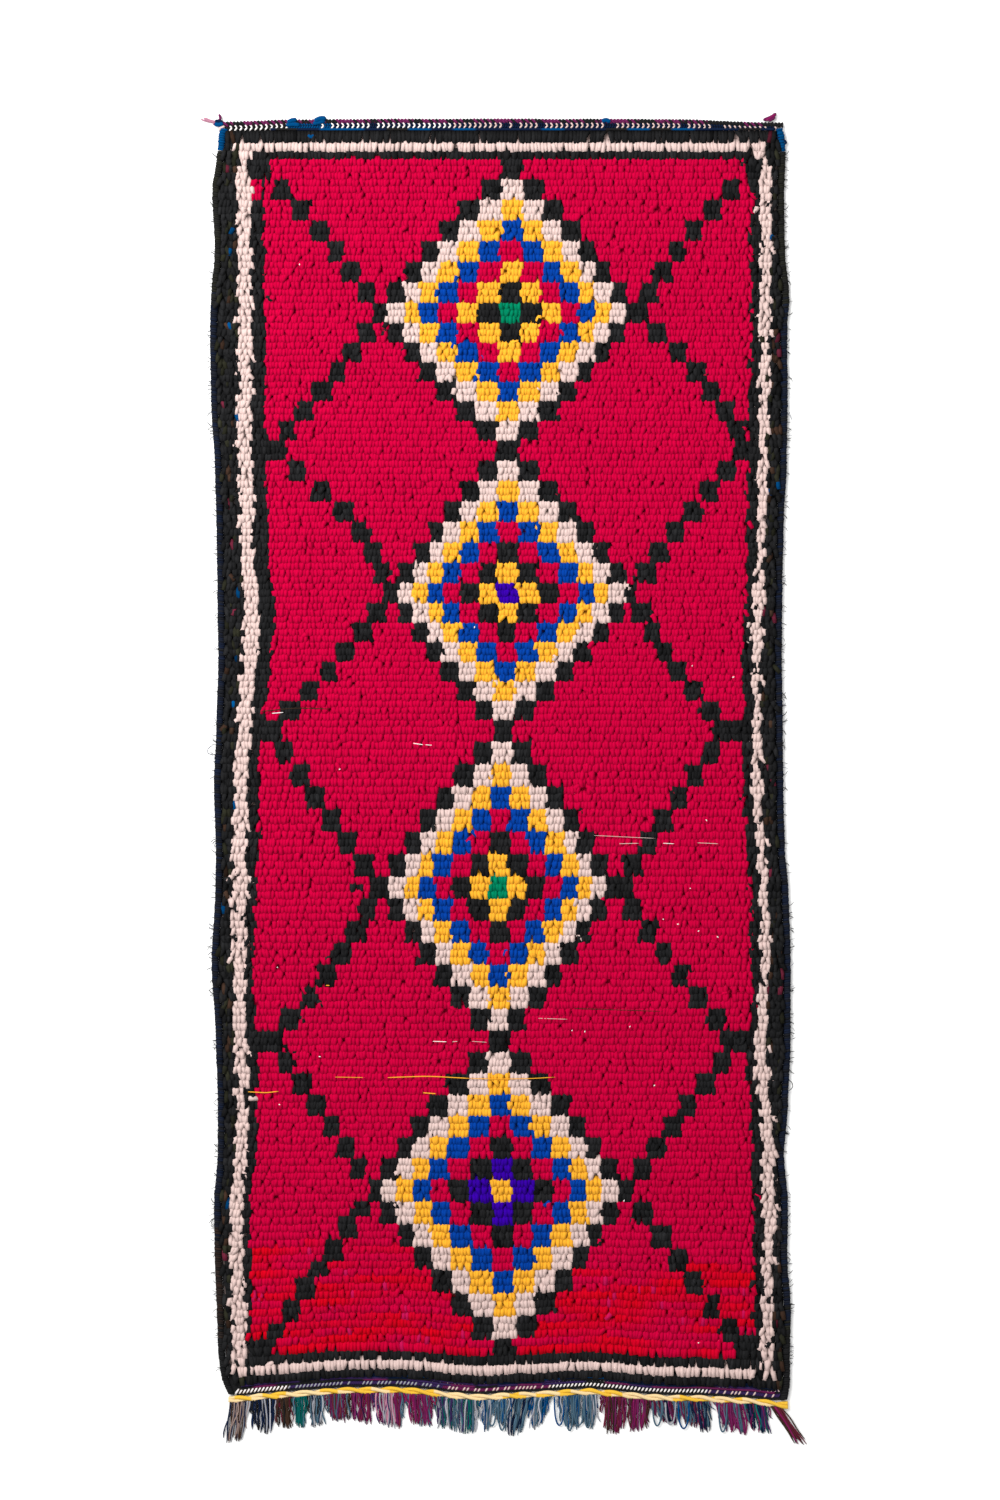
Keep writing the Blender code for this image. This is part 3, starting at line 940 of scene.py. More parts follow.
@dataclass
class PliedCord:
    """A cord of twisted plies along one end of the rug."""

    node: str
    slot: str
    at_top: bool
    width: float
    height: float
    twist_pitch: float
    dyes: tuple[Dye, ...]
    lot: float
    plies: int = 2

    def build(self, outline: Outline, finish: "YarnFinish", rng: np.random.Generator) -> bpy.types.Object:
        """Ply the cord.

        Args:
            outline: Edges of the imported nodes.
            finish: Finish of the cord.
            rng: Source of unevenness.

        Returns:
            The finished cord.
        """
        edge = outline.top_cord if self.at_top else outline.bottom_cord
        strand = Strand(sides=6, cuts=400)
        x = np.linspace(edge.first - 0.002, edge.last + 0.002, strand.rings)
        inward = -1.0 if self.at_top else 1.0
        middle = edge.at(x) + inward * self.width / 2.0
        radius = self.width * 0.25
        paths = np.empty((self.plies, strand.rings, 3))
        for ply in range(self.plies):
            turn = math.tau * (x / self.twist_pitch + ply / self.plies)
            paths[ply] = np.stack(
                (x, middle + radius * np.cos(turn), self.height / 2.0 + 0.2 * self.height * np.sin(turn)), 1
            )
        thick = np.full((self.plies, strand.rings), self.width * 0.56)
        thick *= 1.0 + 0.10 * smooth_noise(x, 0.012, rng)
        across = np.tile((0.0, 1.0, 0.0), (self.plies, 1))
        lots = np.empty((self.plies, strand.rings), int)
        for ply in range(self.plies):
            choice = rng.integers(0, len(self.dyes), int(3.0 / self.lot))
            lots[ply] = choice[np.floor((x + 1.0) / self.lot + 0.4 * ply).astype(int)]
        colours = dye_rows(self.dyes)[lots]
        mesh = YarnMesh(self.node + "_yarn", self.slot, finish.dress(), (self.node,))
        laid = strand.along(paths, thick, thick * self.height / self.width, across)
        mesh.add(strand, laid, colours, np.full(self.plies, 0.5))
        return mesh.finish()


class TwineLot(NamedTuple):
    """A stretch of twining: where it ends, its two yarns and the share of pale turns."""

    until: float
    pale: Dye
    dark: Dye
    share: float


TOP_TWINE = (
    TwineLot(-0.435, Dye.WHITE, Dye.BLACK, 1.0),
    TwineLot(-0.395, Dye.PEACOCK, Dye.PEACOCK, 0.0),
    TwineLot(-0.345, Dye.WHITE, Dye.PEACOCK, 0.5),
    TwineLot(-0.100, Dye.WHITE, Dye.NAVY, 0.95),
    TwineLot(0.560, Dye.CREAM, Dye.NAVY, 0.9),
    TwineLot(0.700, Dye.WHITE, Dye.PLUM, 0.8),
)
BOTTOM_TWINE = (
    TwineLot(-0.435, Dye.WHITE, Dye.UMBER, 1.0),
    TwineLot(-0.120, Dye.GREY, Dye.PURPLE, 0.75),
    TwineLot(0.100, Dye.CREAM, Dye.PLUM, 0.8),
    TwineLot(0.420, Dye.WHITE, Dye.BLACK, 0.95),
    TwineLot(0.700, Dye.CREAM, Dye.PURPLE, 0.6),
)


@dataclass
class Twining:
    """Lines of twined yarn across the flat-woven ends: chevrons above, slanted stitches below."""

    pitch: float = 0.0052
    stitch_pitch: float = 0.0038
    top_middle: float = 0.0072
    top_spread: float = 0.0030
    bottom_middle: float = 0.0095
    second_line: float = 0.0195
    height: float = 0.0072

    def stitches(
        self, x: np.ndarray, y: np.ndarray, slant: float, size: tuple[float, float], height: float
    ) -> tuple[Strand, np.ndarray]:
        """Lay short slanted stitches.

        Args:
            x: Where each is across the rug.
            y: Its level.
            slant: Its lean across its own length, as x over y.
            size: Its length along y, and its width.
            height: Height of its crown.

        Returns:
            The stitch's strand and the laid positions.
        """
        strand = Strand(sides=5, cuts=2)
        share = np.linspace(-0.5, 0.5, strand.rings)
        paths = np.empty((x.size, strand.rings, 3))
        paths[:, :, 0] = x[:, None] + slant * size[0] * share
        paths[:, :, 1] = y[:, None] + size[0] * share
        paths[:, :, 2] = height - 0.0034 * (2.0 * share) ** 2
        widths = np.full((x.size, strand.rings), size[1]) * np.array((0.6, 1.0, 1.0, 0.6))
        across = np.tile((0.94, -0.34 * slant, 0.0), (x.size, 1))
        return strand, strand.along(paths, widths, widths * 0.7, across)

    @staticmethod
    def colours(x: np.ndarray, lots: Sequence[TwineLot], rng: np.random.Generator) -> np.ndarray:
        """Colour of each stitch, pale and dark by turns, as its stretch says."""
        made = np.empty((x.size, 4))
        for index, place in enumerate(x):
            lot = next(lot for lot in lots if place < lot.until)
            pale = index % 2 == 0 and rng.random() < lot.share
            made[index] = (lot.pale if pale else lot.dark).linear
        return made

    def build(self, outline: Outline, chart: Chart, finish: "YarnFinish", rng: np.random.Generator) -> bpy.types.Object:
        """Twine both ends.

        Args:
            outline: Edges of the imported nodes.
            chart: The design, for the levels of the first and last rows.
            finish: Finish of the twining yarn.
            rng: Source of unevenness.

        Returns:
            The finished twining.
        """
        mesh = YarnMesh("end_twining", finish.slot, finish.dress())
        top, low = outline.top_cord, outline.bottom_cord
        x = np.arange(top.first + 0.018, top.last - 0.010, self.pitch)
        colours = self.colours(x, TOP_TWINE, rng)
        tones = rng.normal(0.5, 0.1, x.size)
        for side in (-1.0, 1.0):
            level = outline.top(x) - self.top_middle + 0.004 + side * self.top_spread
            strand, laid = self.stitches(x, level, -side * 0.75, (0.0078, 0.0044), self.height)
            mesh.add(strand, laid, colours, tones)
        x = np.arange(low.first + 0.016, low.last - 0.016, self.stitch_pitch)
        bold = x < -0.435
        colours = self.colours(x, BOTTOM_TWINE, rng)
        tones = rng.normal(0.5, 0.1, x.size)
        for part, size in ((bold, (0.0125, 0.0050)), (~bold, (0.0085, 0.0044))):
            level = outline.bottom(x[part]) + self.bottom_middle
            strand, laid = self.stitches(x[part], level, 0.7, size, self.height)
            mesh.add(strand, laid, colours[part], tones[part])
        part = (x > -0.44) & ((np.sin(x * 9.0 + 1.0) > -0.3) | (x > 0.1))
        level = outline.bottom(x[part]) + self.second_line
        strand, laid = self.stitches(x[part], level, -0.6, (0.0052, 0.0036), self.height - 0.0005)
        mesh.add(strand, laid, self.colours(x[part], BOTTOM_TWINE, rng), tones[part])
        self.wefts(mesh, outline, chart, rng)
        return mesh.finish()

    def wefts(self, mesh: YarnMesh, outline: Outline, chart: Chart, rng: np.random.Generator) -> None:
        """Lay the dyed wefts that show beside the twining.

        Args:
            mesh: The mesh that they join.
            outline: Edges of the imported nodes.
            chart: The design.
            rng: Source of unevenness.
        """
        strand = Strand(sides=5, cuts=158)
        left, right = outline.bottom_cord.first + 0.024, outline.bottom_cord.last - 0.024
        x = np.linspace(left, right, strand.rings)
        lots = (
            (0.0155, (Dye.PURPLE, Dye.PLUM, Dye.BLACK)),
            (0.0200, (Dye.PURPLE, Dye.NAVY, Dye.BLACK, Dye.PURPLE)),
            (0.0240, (Dye.PEACOCK, Dye.NAVY, Dye.BLACK, Dye.NAVY)),
            (0.0280, (Dye.NAVY, Dye.BLACK, Dye.BLACK)),
        )
        for offset, dyes in lots:
            level = outline.bottom(x) + offset + 0.0012 * smooth_noise(x, 0.05, rng)
            self.weft(mesh, strand, x, level, 0.0066, dyes, rng)
        x = np.linspace(left + 0.06, right, strand.rings)
        level = chart.level(np.zeros(x.size), x) + 0.0012
        self.weft(mesh, strand, x, level, 0.0105, (Dye.NAVY, Dye.PEACOCK, Dye.NAVY, Dye.BLACK), rng)

    @staticmethod
    def weft(
        mesh: YarnMesh, strand: Strand, x: np.ndarray, y: np.ndarray, z: float,
        dyes: Sequence[Dye], rng: np.random.Generator,
    ) -> None:
        """Lay one weft across the rug.

        Args:
            mesh: The mesh that it joins.
            strand: Its tube.
            x: Places across the rug.
            y: Levels there.
            z: Height of its middle.
            dyes: Dyes that take turns along it.
            rng: Source of their lengths.
        """
        paths = np.stack((x, y, z + 0.0006 * smooth_noise(x, 0.02, rng)), 1)[None]
        widths = np.full((1, x.size), 0.0050)
        choice = rng.integers(0, len(dyes), 80)
        lots = choice[np.floor((x + 1.0) / 0.045).astype(int)]
        colours = dye_rows(dyes)[lots][None]
        laid = strand.along(paths, widths, widths * 0.7, np.array([[0.0, 1.0, 0.0]]))
        mesh.add(strand, laid, colours, np.array([0.5]))


class FringeLot(NamedTuple):
    """A stretch of fringe: where it ends, the drift of its tips and its dyes."""

    until: float
    drift: float
    dyes: tuple[Dye, ...]


FRINGE_LOTS = (
    FringeLot(-0.513, -0.010, (Dye.TAUPE, Dye.UMBER, Dye.TAUPE, Dye.NAVY, Dye.GREY)),
    FringeLot(-0.462, 0.001, (Dye.NAVY, Dye.GREY, Dye.NAVY, Dye.BLACK)),
    FringeLot(-0.427, 0.002, (Dye.UMBER, Dye.MAROON, Dye.BLACK, Dye.UMBER)),
    FringeLot(-0.397, 0.001, (Dye.TEAL, Dye.TEAL, Dye.TEAL, Dye.TEAL, Dye.SLATE)),
    FringeLot(-0.359, 0.0, (Dye.NAVY, Dye.GREY, Dye.SLATE, Dye.BLACK)),
    FringeLot(-0.309, 0.002, (Dye.PLUM, Dye.UMBER, Dye.SLATE, Dye.MAROON)),
    FringeLot(-0.262, 0.001, (Dye.MAROON, Dye.PLUM, Dye.MAGENTA, Dye.PURPLE)),
    FringeLot(-0.218, 0.002, (Dye.ROSE, Dye.MAGENTA, Dye.ROSE, Dye.PURPLE, Dye.GREY)),
    FringeLot(-0.137, 0.004, (Dye.MAROON, Dye.PLUM, Dye.MAGENTA, Dye.SLATE)),
    FringeLot(-0.044, 0.002, (Dye.SLATE, Dye.TEAL, Dye.SLATE, Dye.GREY, Dye.PURPLE)),
    FringeLot(0.025, -0.002, (Dye.SLATE, Dye.SLATE, Dye.PEACOCK, Dye.GREY)),
    FringeLot(0.061, -0.012, (Dye.SLATE, Dye.NAVY, Dye.SLATE)),
    FringeLot(0.110, -0.008, (Dye.SLATE, Dye.GREY, Dye.PEACOCK)),
    FringeLot(0.203, 0.003, (Dye.SLATE, Dye.PEACOCK, Dye.SLATE, Dye.GREY)),
    FringeLot(0.305, -0.001, (Dye.PLUM, Dye.MAROON, Dye.MAGENTA, Dye.UMBER)),
    FringeLot(0.433, 0.009, (Dye.SLATE, Dye.MAROON, Dye.SLATE, Dye.NAVY, Dye.PLUM)),
    FringeLot(0.498, 0.010, (Dye.MAGENTA, Dye.PLUM, Dye.SLATE, Dye.MAGENTA)),
    FringeLot(0.5485, 0.008, (Dye.PURPLE, Dye.NAVY, Dye.MAGENTA, Dye.TEAL)),
    FringeLot(0.700, 0.049, (Dye.PLUM, Dye.MAROON, Dye.MAGENTA, Dye.UMBER)),
)
LOOPS = ((-0.020, 0.018, 0.052), (0.001, 0.016, 0.062), (0.118, 0.020, 0.058), (0.139, 0.016, 0.070),
         (0.158, 0.022, 0.060), (0.176, 0.014, 0.066), (0.318, 0.018, 0.050), (0.345, 0.020, 0.046),
         (0.372, 0.022, 0.054), (0.452, 0.016, 0.058))


@dataclass
class Fringe:
    """Dyed yarn ends that hang from the gold cord, with a few uncut loops."""

    pitch: float = 0.0014
    yarn: float = 0.0034
    root_height: float = 0.0082
    tip_height: float = 0.0022
    gap_depth: float = 0.0120

    def build(self, outline: Outline, finish: "YarnFinish", rng: np.random.Generator) -> bpy.types.Object:
        """Hang the fringe.

        Args:
            outline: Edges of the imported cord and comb.
            finish: Finish of the fringe yarn.
            rng: Source of unevenness.

        Returns:
            The finished fringe.
        """
        comb, cord = outline.fringe, outline.bottom_cord
        x = np.arange(comb.first, 0.571, self.pitch)
        x = x + rng.uniform(-0.0012, 0.0012, x.size)
        lots = [next(lot for lot in FRINGE_LOTS if place < lot.until) for place in x]
        drift = np.array([lot.drift for lot in lots])
        root = cord.at(x) + 0.0025
        tip = comb.at(np.minimum(x + 0.6 * np.where(drift > 0.03, 0.0, drift), comb.last))
        tip[drift > 0.03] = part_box("fringe")[0][1] + 0.002
        kept = (root - tip > self.gap_depth + 0.0025) & ((drift < 0.03) | (x > 0.549))
        x, drift, root, tip = x[kept], drift[kept], root[kept], tip[kept]
        colours = np.array([lots[i].dyes[rng.integers(len(lots[i].dyes))].linear for i in np.flatnonzero(kept)])
        strand = Strand(sides=5, cuts=6)
        share = np.linspace(0.0, 1.0, strand.rings)
        number = x.size
        length = (root - tip) * rng.uniform(0.84, 1.02, number)
        wave = rng.normal(0.0, 0.0016, (number, 3))
        aside = drift[:, None] * share + rng.normal(0.0, 0.0032, number)[:, None] * share
        for turn in range(3):
            aside += wave[:, turn : turn + 1] * np.sin((turn + 1.0) * 2.2 * share) * (share > 0)
        paths = np.empty((number, strand.rings, 3))
        paths[:, :, 0] = x[:, None] + aside
        paths[:, :, 1] = root[:, None] - length[:, None] * share
        layer = rng.uniform(0.0, 1.0, number)[:, None]
        paths[:, :, 2] = self.tip_height + (self.root_height - self.tip_height) * (1 - share) * (0.35 + 0.65 * layer)
        paths[:, :, 2] += 0.0016 * layer * share
        widths = np.full((number, strand.rings), self.yarn) * rng.uniform(0.75, 1.15, number)[:, None]
        widths[:, -1] *= 0.55
        across = np.tile((1.0, 0.0, 0.0), (number, 1))
        mesh = YarnMesh("fringe_yarn", finish.slot, finish.dress(), ("fringe",))
        mesh.add(strand, strand.along(paths, widths, widths * 0.8, across), colours,
                 np.clip(rng.normal(0.5, 0.2, number), 0, 1))
        self.loops(mesh, outline, rng)
        return mesh.finish()

    def loops(self, mesh: YarnMesh, outline: Outline, rng: np.random.Generator) -> None:
        """Hang the uncut loops.

        Args:
            mesh: The mesh that they join.
            outline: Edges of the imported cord.
            rng: Source of their dyes.
        """
        strand = Strand(sides=5, cuts=10)
        turn = np.linspace(0.0, math.pi, strand.rings)
        for middle, span, depth in LOOPS:
            paths = np.stack(
                (
                    middle - span / 2.0 * np.cos(turn),
                    outline.bottom_cord.at(np.array([middle])) - depth * np.sin(turn) ** 0.7,
                    np.full(turn.size, self.root_height - 0.001) - 0.002 * np.sin(turn),
                ),
                1,
            )[None]
            run = np.gradient(paths, axis=1)
            across = np.stack((-run[..., 1], run[..., 0], np.zeros(run.shape[:2])), 2)
            across /= np.linalg.norm(across, axis=2, keepdims=True)
            widths = np.full((1, turn.size), 0.0036)
            dye = (Dye.SLATE, Dye.SLATE, Dye.PEACOCK, Dye.GREY)[rng.integers(4)]
            mesh.add(strand, strand.along(paths, widths, widths * 0.8, across), dye_rows([dye]), np.array([0.5]))


class Thread(NamedTuple):
    """A loose thread: points in plan, height, thickness and dye."""

    points: tuple[tuple[float, float], ...]
    height: float
    thickness: float
    dye: Dye


def lay_thread(mesh: YarnMesh, strand: Strand, thread: Thread) -> None:
    """Lay one loose thread along its points.

    Args:
        mesh: The mesh that it joins.
        strand: Its tube.
        thread: The thread.
    """
    points = np.array(thread.points)
    steps = np.linalg.norm(np.diff(points, axis=0), axis=1)
    at = np.concatenate(([0.0], np.cumsum(steps)))
    share = np.linspace(0.0, at[-1], strand.rings)
    plan = np.stack([np.interp(share, at, points[:, axis]) for axis in (0, 1)], 1)
    plan[1:-1] = (plan[:-2] + 2.0 * plan[1:-1] + plan[2:]) / 4.0
    paths = np.column_stack((plan, np.full(strand.rings, thread.height)))[None]
    run = np.gradient(paths, axis=1)
    across = np.stack((-run[..., 1], run[..., 0], np.zeros(run.shape[:2])), 2)
    across /= np.maximum(np.linalg.norm(across, axis=2, keepdims=True), 1e-9)
    widths = np.full((1, strand.rings), thread.thickness)
    widths[:, 0] *= 0.6
    widths[:, -1] *= 0.4
    laid = strand.along(paths, widths, widths * 0.8, across)
    mesh.add(strand, laid, dye_rows([thread.dye]), np.array([0.5]))


TIES = {
    "corner_tie_left": (
        Thread(((-0.566, 1.340), (-0.580, 1.341), (-0.596, 1.344), (-0.608, 1.350)), 0.0050, 0.0066, Dye.ROSE),
        Thread(((-0.590, 1.342), (-0.600, 1.343), (-0.610, 1.346), (-0.6155, 1.350)), 0.0030, 0.0030, Dye.ROSE),
        Thread(((-0.588, 1.3355), (-0.580, 1.342), (-0.573, 1.349), (-0.577, 1.358)), 0.0070, 0.0058, Dye.PLUM),
        Thread(((-0.586, 1.337), (-0.577, 1.336), (-0.568, 1.338)), 0.0085, 0.0090, Dye.PEACOCK),
        Thread(((-0.585, 1.343), (-0.577, 1.343), (-0.569, 1.341)), 0.0080, 0.0080, Dye.NAVY),
        Thread(((-0.578, 1.3255), (-0.572, 1.330), (-0.566, 1.3345)), 0.0065, 0.0070, Dye.CREAM),
    ),
    "corner_tie_right": (
        Thread(((0.535, 1.346), (0.545, 1.350), (0.554, 1.354), (0.561, 1.360)), 0.0045, 0.0070, Dye.PLUM),
        Thread(((0.540, 1.345), (0.549, 1.350), (0.556, 1.355), (0.560, 1.357)), 0.0070, 0.0056, Dye.MAGENTA),
        Thread(((0.545, 1.344), (0.553, 1.348), (0.559, 1.352)), 0.0060, 0.0060, Dye.PLUM),
    ),
}
BLUE_KNOTS = (
    Thread(((-0.437, 1.340), (-0.428, 1.345), (-0.418, 1.346)), 0.0090, 0.0100, Dye.PEACOCK),
    Thread(((-0.440, 1.335), (-0.425, 1.337), (-0.412, 1.335)), 0.0085, 0.0095, Dye.PEACOCK),
    Thread(((-0.382, 1.343), (-0.370, 1.349), (-0.358, 1.348)), 0.0095, 0.0110, Dye.PEACOCK),
    Thread(((-0.385, 1.338), (-0.372, 1.341), (-0.360, 1.344)), 0.0085, 0.0095, Dye.PEACOCK),
    Thread(((-0.395, 1.314), (-0.388, 1.309), (-0.383, 1.315)), 0.0120, 0.0070, Dye.PEACOCK),
    Thread(((0.205, 1.343), (0.214, 1.346), (0.222, 1.341)), 0.0095, 0.0095, Dye.PEACOCK),
    Thread(((0.560, 1.312), (0.574, 1.306), (0.583, 1.300), (0.579, 1.296)), 0.0080, 0.0050, Dye.NAVY),
)
STRAY = (
    Thread(((-0.340, -0.608), (-0.280, -0.609)), 0.0138, 0.0012, Dye.YELLOW),
    Thread(((-0.232, -0.609), (-0.150, -0.606), (-0.060, -0.611)), 0.0142, 0.0020, Dye.YELLOW),
    Thread(((-0.062, -0.611), (0.000, -0.612), (0.060, -0.611), (0.110, -0.608)), 0.0146, 0.0016, Dye.YELLOW),
    Thread(((-0.517, -0.638), (-0.480, -0.640), (-0.455, -0.637)), 0.0140, 0.0020, Dye.YELLOW),
    Thread(((-0.160, -0.640), (-0.134, -0.642)), 0.0140, 0.0022, Dye.YELLOW),
    Thread(((-0.358, -0.421), (-0.351, -0.421)), 0.0140, 0.0020, Dye.YELLOW),
    Thread(((-0.468, 0.134), (-0.445, 0.136)), 0.0140, 0.0018, Dye.WHITE),
    Thread(((-0.180, 0.073), (-0.160, 0.070)), 0.0140, 0.0018, Dye.WHITE),
    Thread(((-0.155, 0.070), (-0.142, 0.069)), 0.0140, 0.0014, Dye.WHITE),
    Thread(((0.189, -0.115), (0.250, -0.118), (0.314, -0.121)), 0.0138, 0.0010, Dye.CREAM),
    Thread(((0.240, -0.132), (0.280, -0.131)), 0.0138, 0.0012, Dye.CREAM),
    Thread(((0.330, -0.131), (0.352, -0.132)), 0.0138, 0.0014, Dye.WHITE),
    Thread(((0.400, -0.130), (0.442, -0.132)), 0.0138, 0.0012, Dye.CREAM),
    Thread(((0.075, -0.488), (0.134, -0.490)), 0.0138, 0.0011, Dye.CREAM),
    Thread(((-0.140, -0.535), (-0.112, -0.536)), 0.0140, 0.0016, Dye.WHITE),
    Thread(((-0.100, -0.536), (-0.090, -0.535)), 0.0140, 0.0014, Dye.CREAM),
    Thread(((-0.060, -0.535), (-0.030, -0.537)), 0.0140, 0.0010, Dye.CREAM),
    Thread(((0.148, -0.468), (0.240, -0.471), (0.328, -0.474)), 0.0140, 0.0014, Dye.UMBER),
    Thread(((-0.490, 0.138), (-0.420, 0.145), (-0.350, 0.143)), 0.0140, 0.0020, Dye.UMBER),
    Thread(((0.570, -0.612), (0.592, -0.616), (0.596, -0.630), (0.584, -0.638)), 0.0080, 0.0016, Dye.BLACK),
    Thread(((-0.590, 0.069), (-0.600, 0.062), (-0.600, 0.052), (-0.588, 0.049)), 0.0080, 0.0016, Dye.NAVY),
)
LINT = ((-0.371, -0.566), (-0.453, -0.664), (-0.457, -0.384), (0.144, -0.513), (0.389, 0.231),
        (0.473, 0.208), (0.418, -0.084), (0.385, -0.223), (0.312, -0.625), (0.262, -0.505),
        (0.170, -0.515), (-0.330, 0.020), (0.330, -0.286), (0.360, -0.296), (0.402, -0.310),
        (0.441, -0.322), (-0.055, 0.310), (0.402, -1.150), (0.250, -0.860), (-0.412, 1.05))


@dataclass
class LooseEnds:
    """Loose threads, lint and the frayed hairs of both sides."""

    hairs: int = 190
    hair_length: tuple[float, float] = (0.003, 0.010)
    lint_length: float = 0.0036

    def ties(self, finish: "YarnFinish") -> None:
        """Lay the yarn ends at both corners of the twined end.

        Args:
            finish: Finish of the yarn.
        """
        strand = Strand(sides=7, cuts=9)
        material = finish.dress()
        for node, threads in TIES.items():
            mesh = YarnMesh(node + "_yarn", finish.slot, material, (node,))
            for thread in threads:
                lay_thread(mesh, strand, thread)
            mesh.finish()

    def blue_knots(self, finish: "YarnFinish") -> None:
        """Tie the blue yarn knots on the dark end cord.

        Args:
            finish: Finish of the yarn.
        """
        mesh = YarnMesh("blue_yarn_knots", finish.slot, finish.dress())
        strand = Strand(sides=7, cuts=7)
        for thread in BLUE_KNOTS:
            lay_thread(mesh, strand, thread)
        mesh.finish()

    def strays(self, outline: Outline, finish: "YarnFinish", rng: np.random.Generator) -> None:
        """Scatter the stray threads, lint and side hairs.

        Args:
            outline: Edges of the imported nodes.
            finish: Finish of the threads.
            rng: Source of places and lengths.
        """
        mesh = YarnMesh("loose_threads", finish.slot, finish.dress())
        strand = Strand(sides=5, cuts=9)
        for thread in STRAY:
            lay_thread(mesh, strand, thread)
        for x, y in LINT:
            turn = rng.uniform(0.0, math.pi)
            half = self.lint_length / 2.0 * rng.uniform(0.6, 1.3)
            step = (half * math.cos(turn), half * math.sin(turn))
            ends = ((x - step[0], y - step[1]), (x + step[0], y + step[1]))
            lay_thread(mesh, Strand(sides=5, cuts=1), Thread(ends, 0.0142, 0.0026, Dye.WHITE))
        hair = Strand(sides=4, cuts=3)
        for name, outward in (("selvedge_left", -1.0), ("selvedge_right", 1.0)):
            edge = outline.sides[name]
            for y in rng.uniform(edge.first, edge.last, self.hairs):
                x = float(edge.at(np.array([y]))[0])
                reach = rng.uniform(*self.hair_length) * outward
                lean = rng.normal(0.0, 0.006)
                points = ((x - 0.004 * outward, y), (x + 0.4 * reach, y + 0.2 * lean), (x + reach, y + lean))
                dye = Dye.GREY if rng.random() < 0.08 else Dye.BLACK
                lay_thread(mesh, hair, Thread(points, 0.0060, rng.uniform(0.0007, 0.0016), dye))
        mesh.finish()


def add_node(tree: bpy.types.NodeTree, kind: str, **values: object) -> bpy.types.Node:
    """Add a shader node and set its properties.

    Args:
        tree: The node tree.
        kind: Blender's name of the node type.
        values: Properties by name.

    Returns:
        The new node.
    """
    node = tree.nodes.new(kind)
    for name, value in values.items():
        setattr(node, name, value)
    return node


def math_node(
    tree: bpy.types.NodeTree, operation: str, first: object, second: object = None, third: object = None
) -> bpy.types.NodeSocket:
    """Add a Math node fed by sockets or numbers.

    Args:
        tree: The node tree.
        operation: What it does.
        first: First input.
        second: Second input.
        third: Third input.

    Returns:
        Its output.
    """
    node = add_node(tree, "ShaderNodeMath", operation=operation)
    for socket, value in zip(node.inputs, (first, second, third)):
        if isinstance(value, bpy.types.NodeSocket):
            tree.links.new(value, socket)
        elif value is not None:
            socket.default_value = value
    return node.outputs[0]


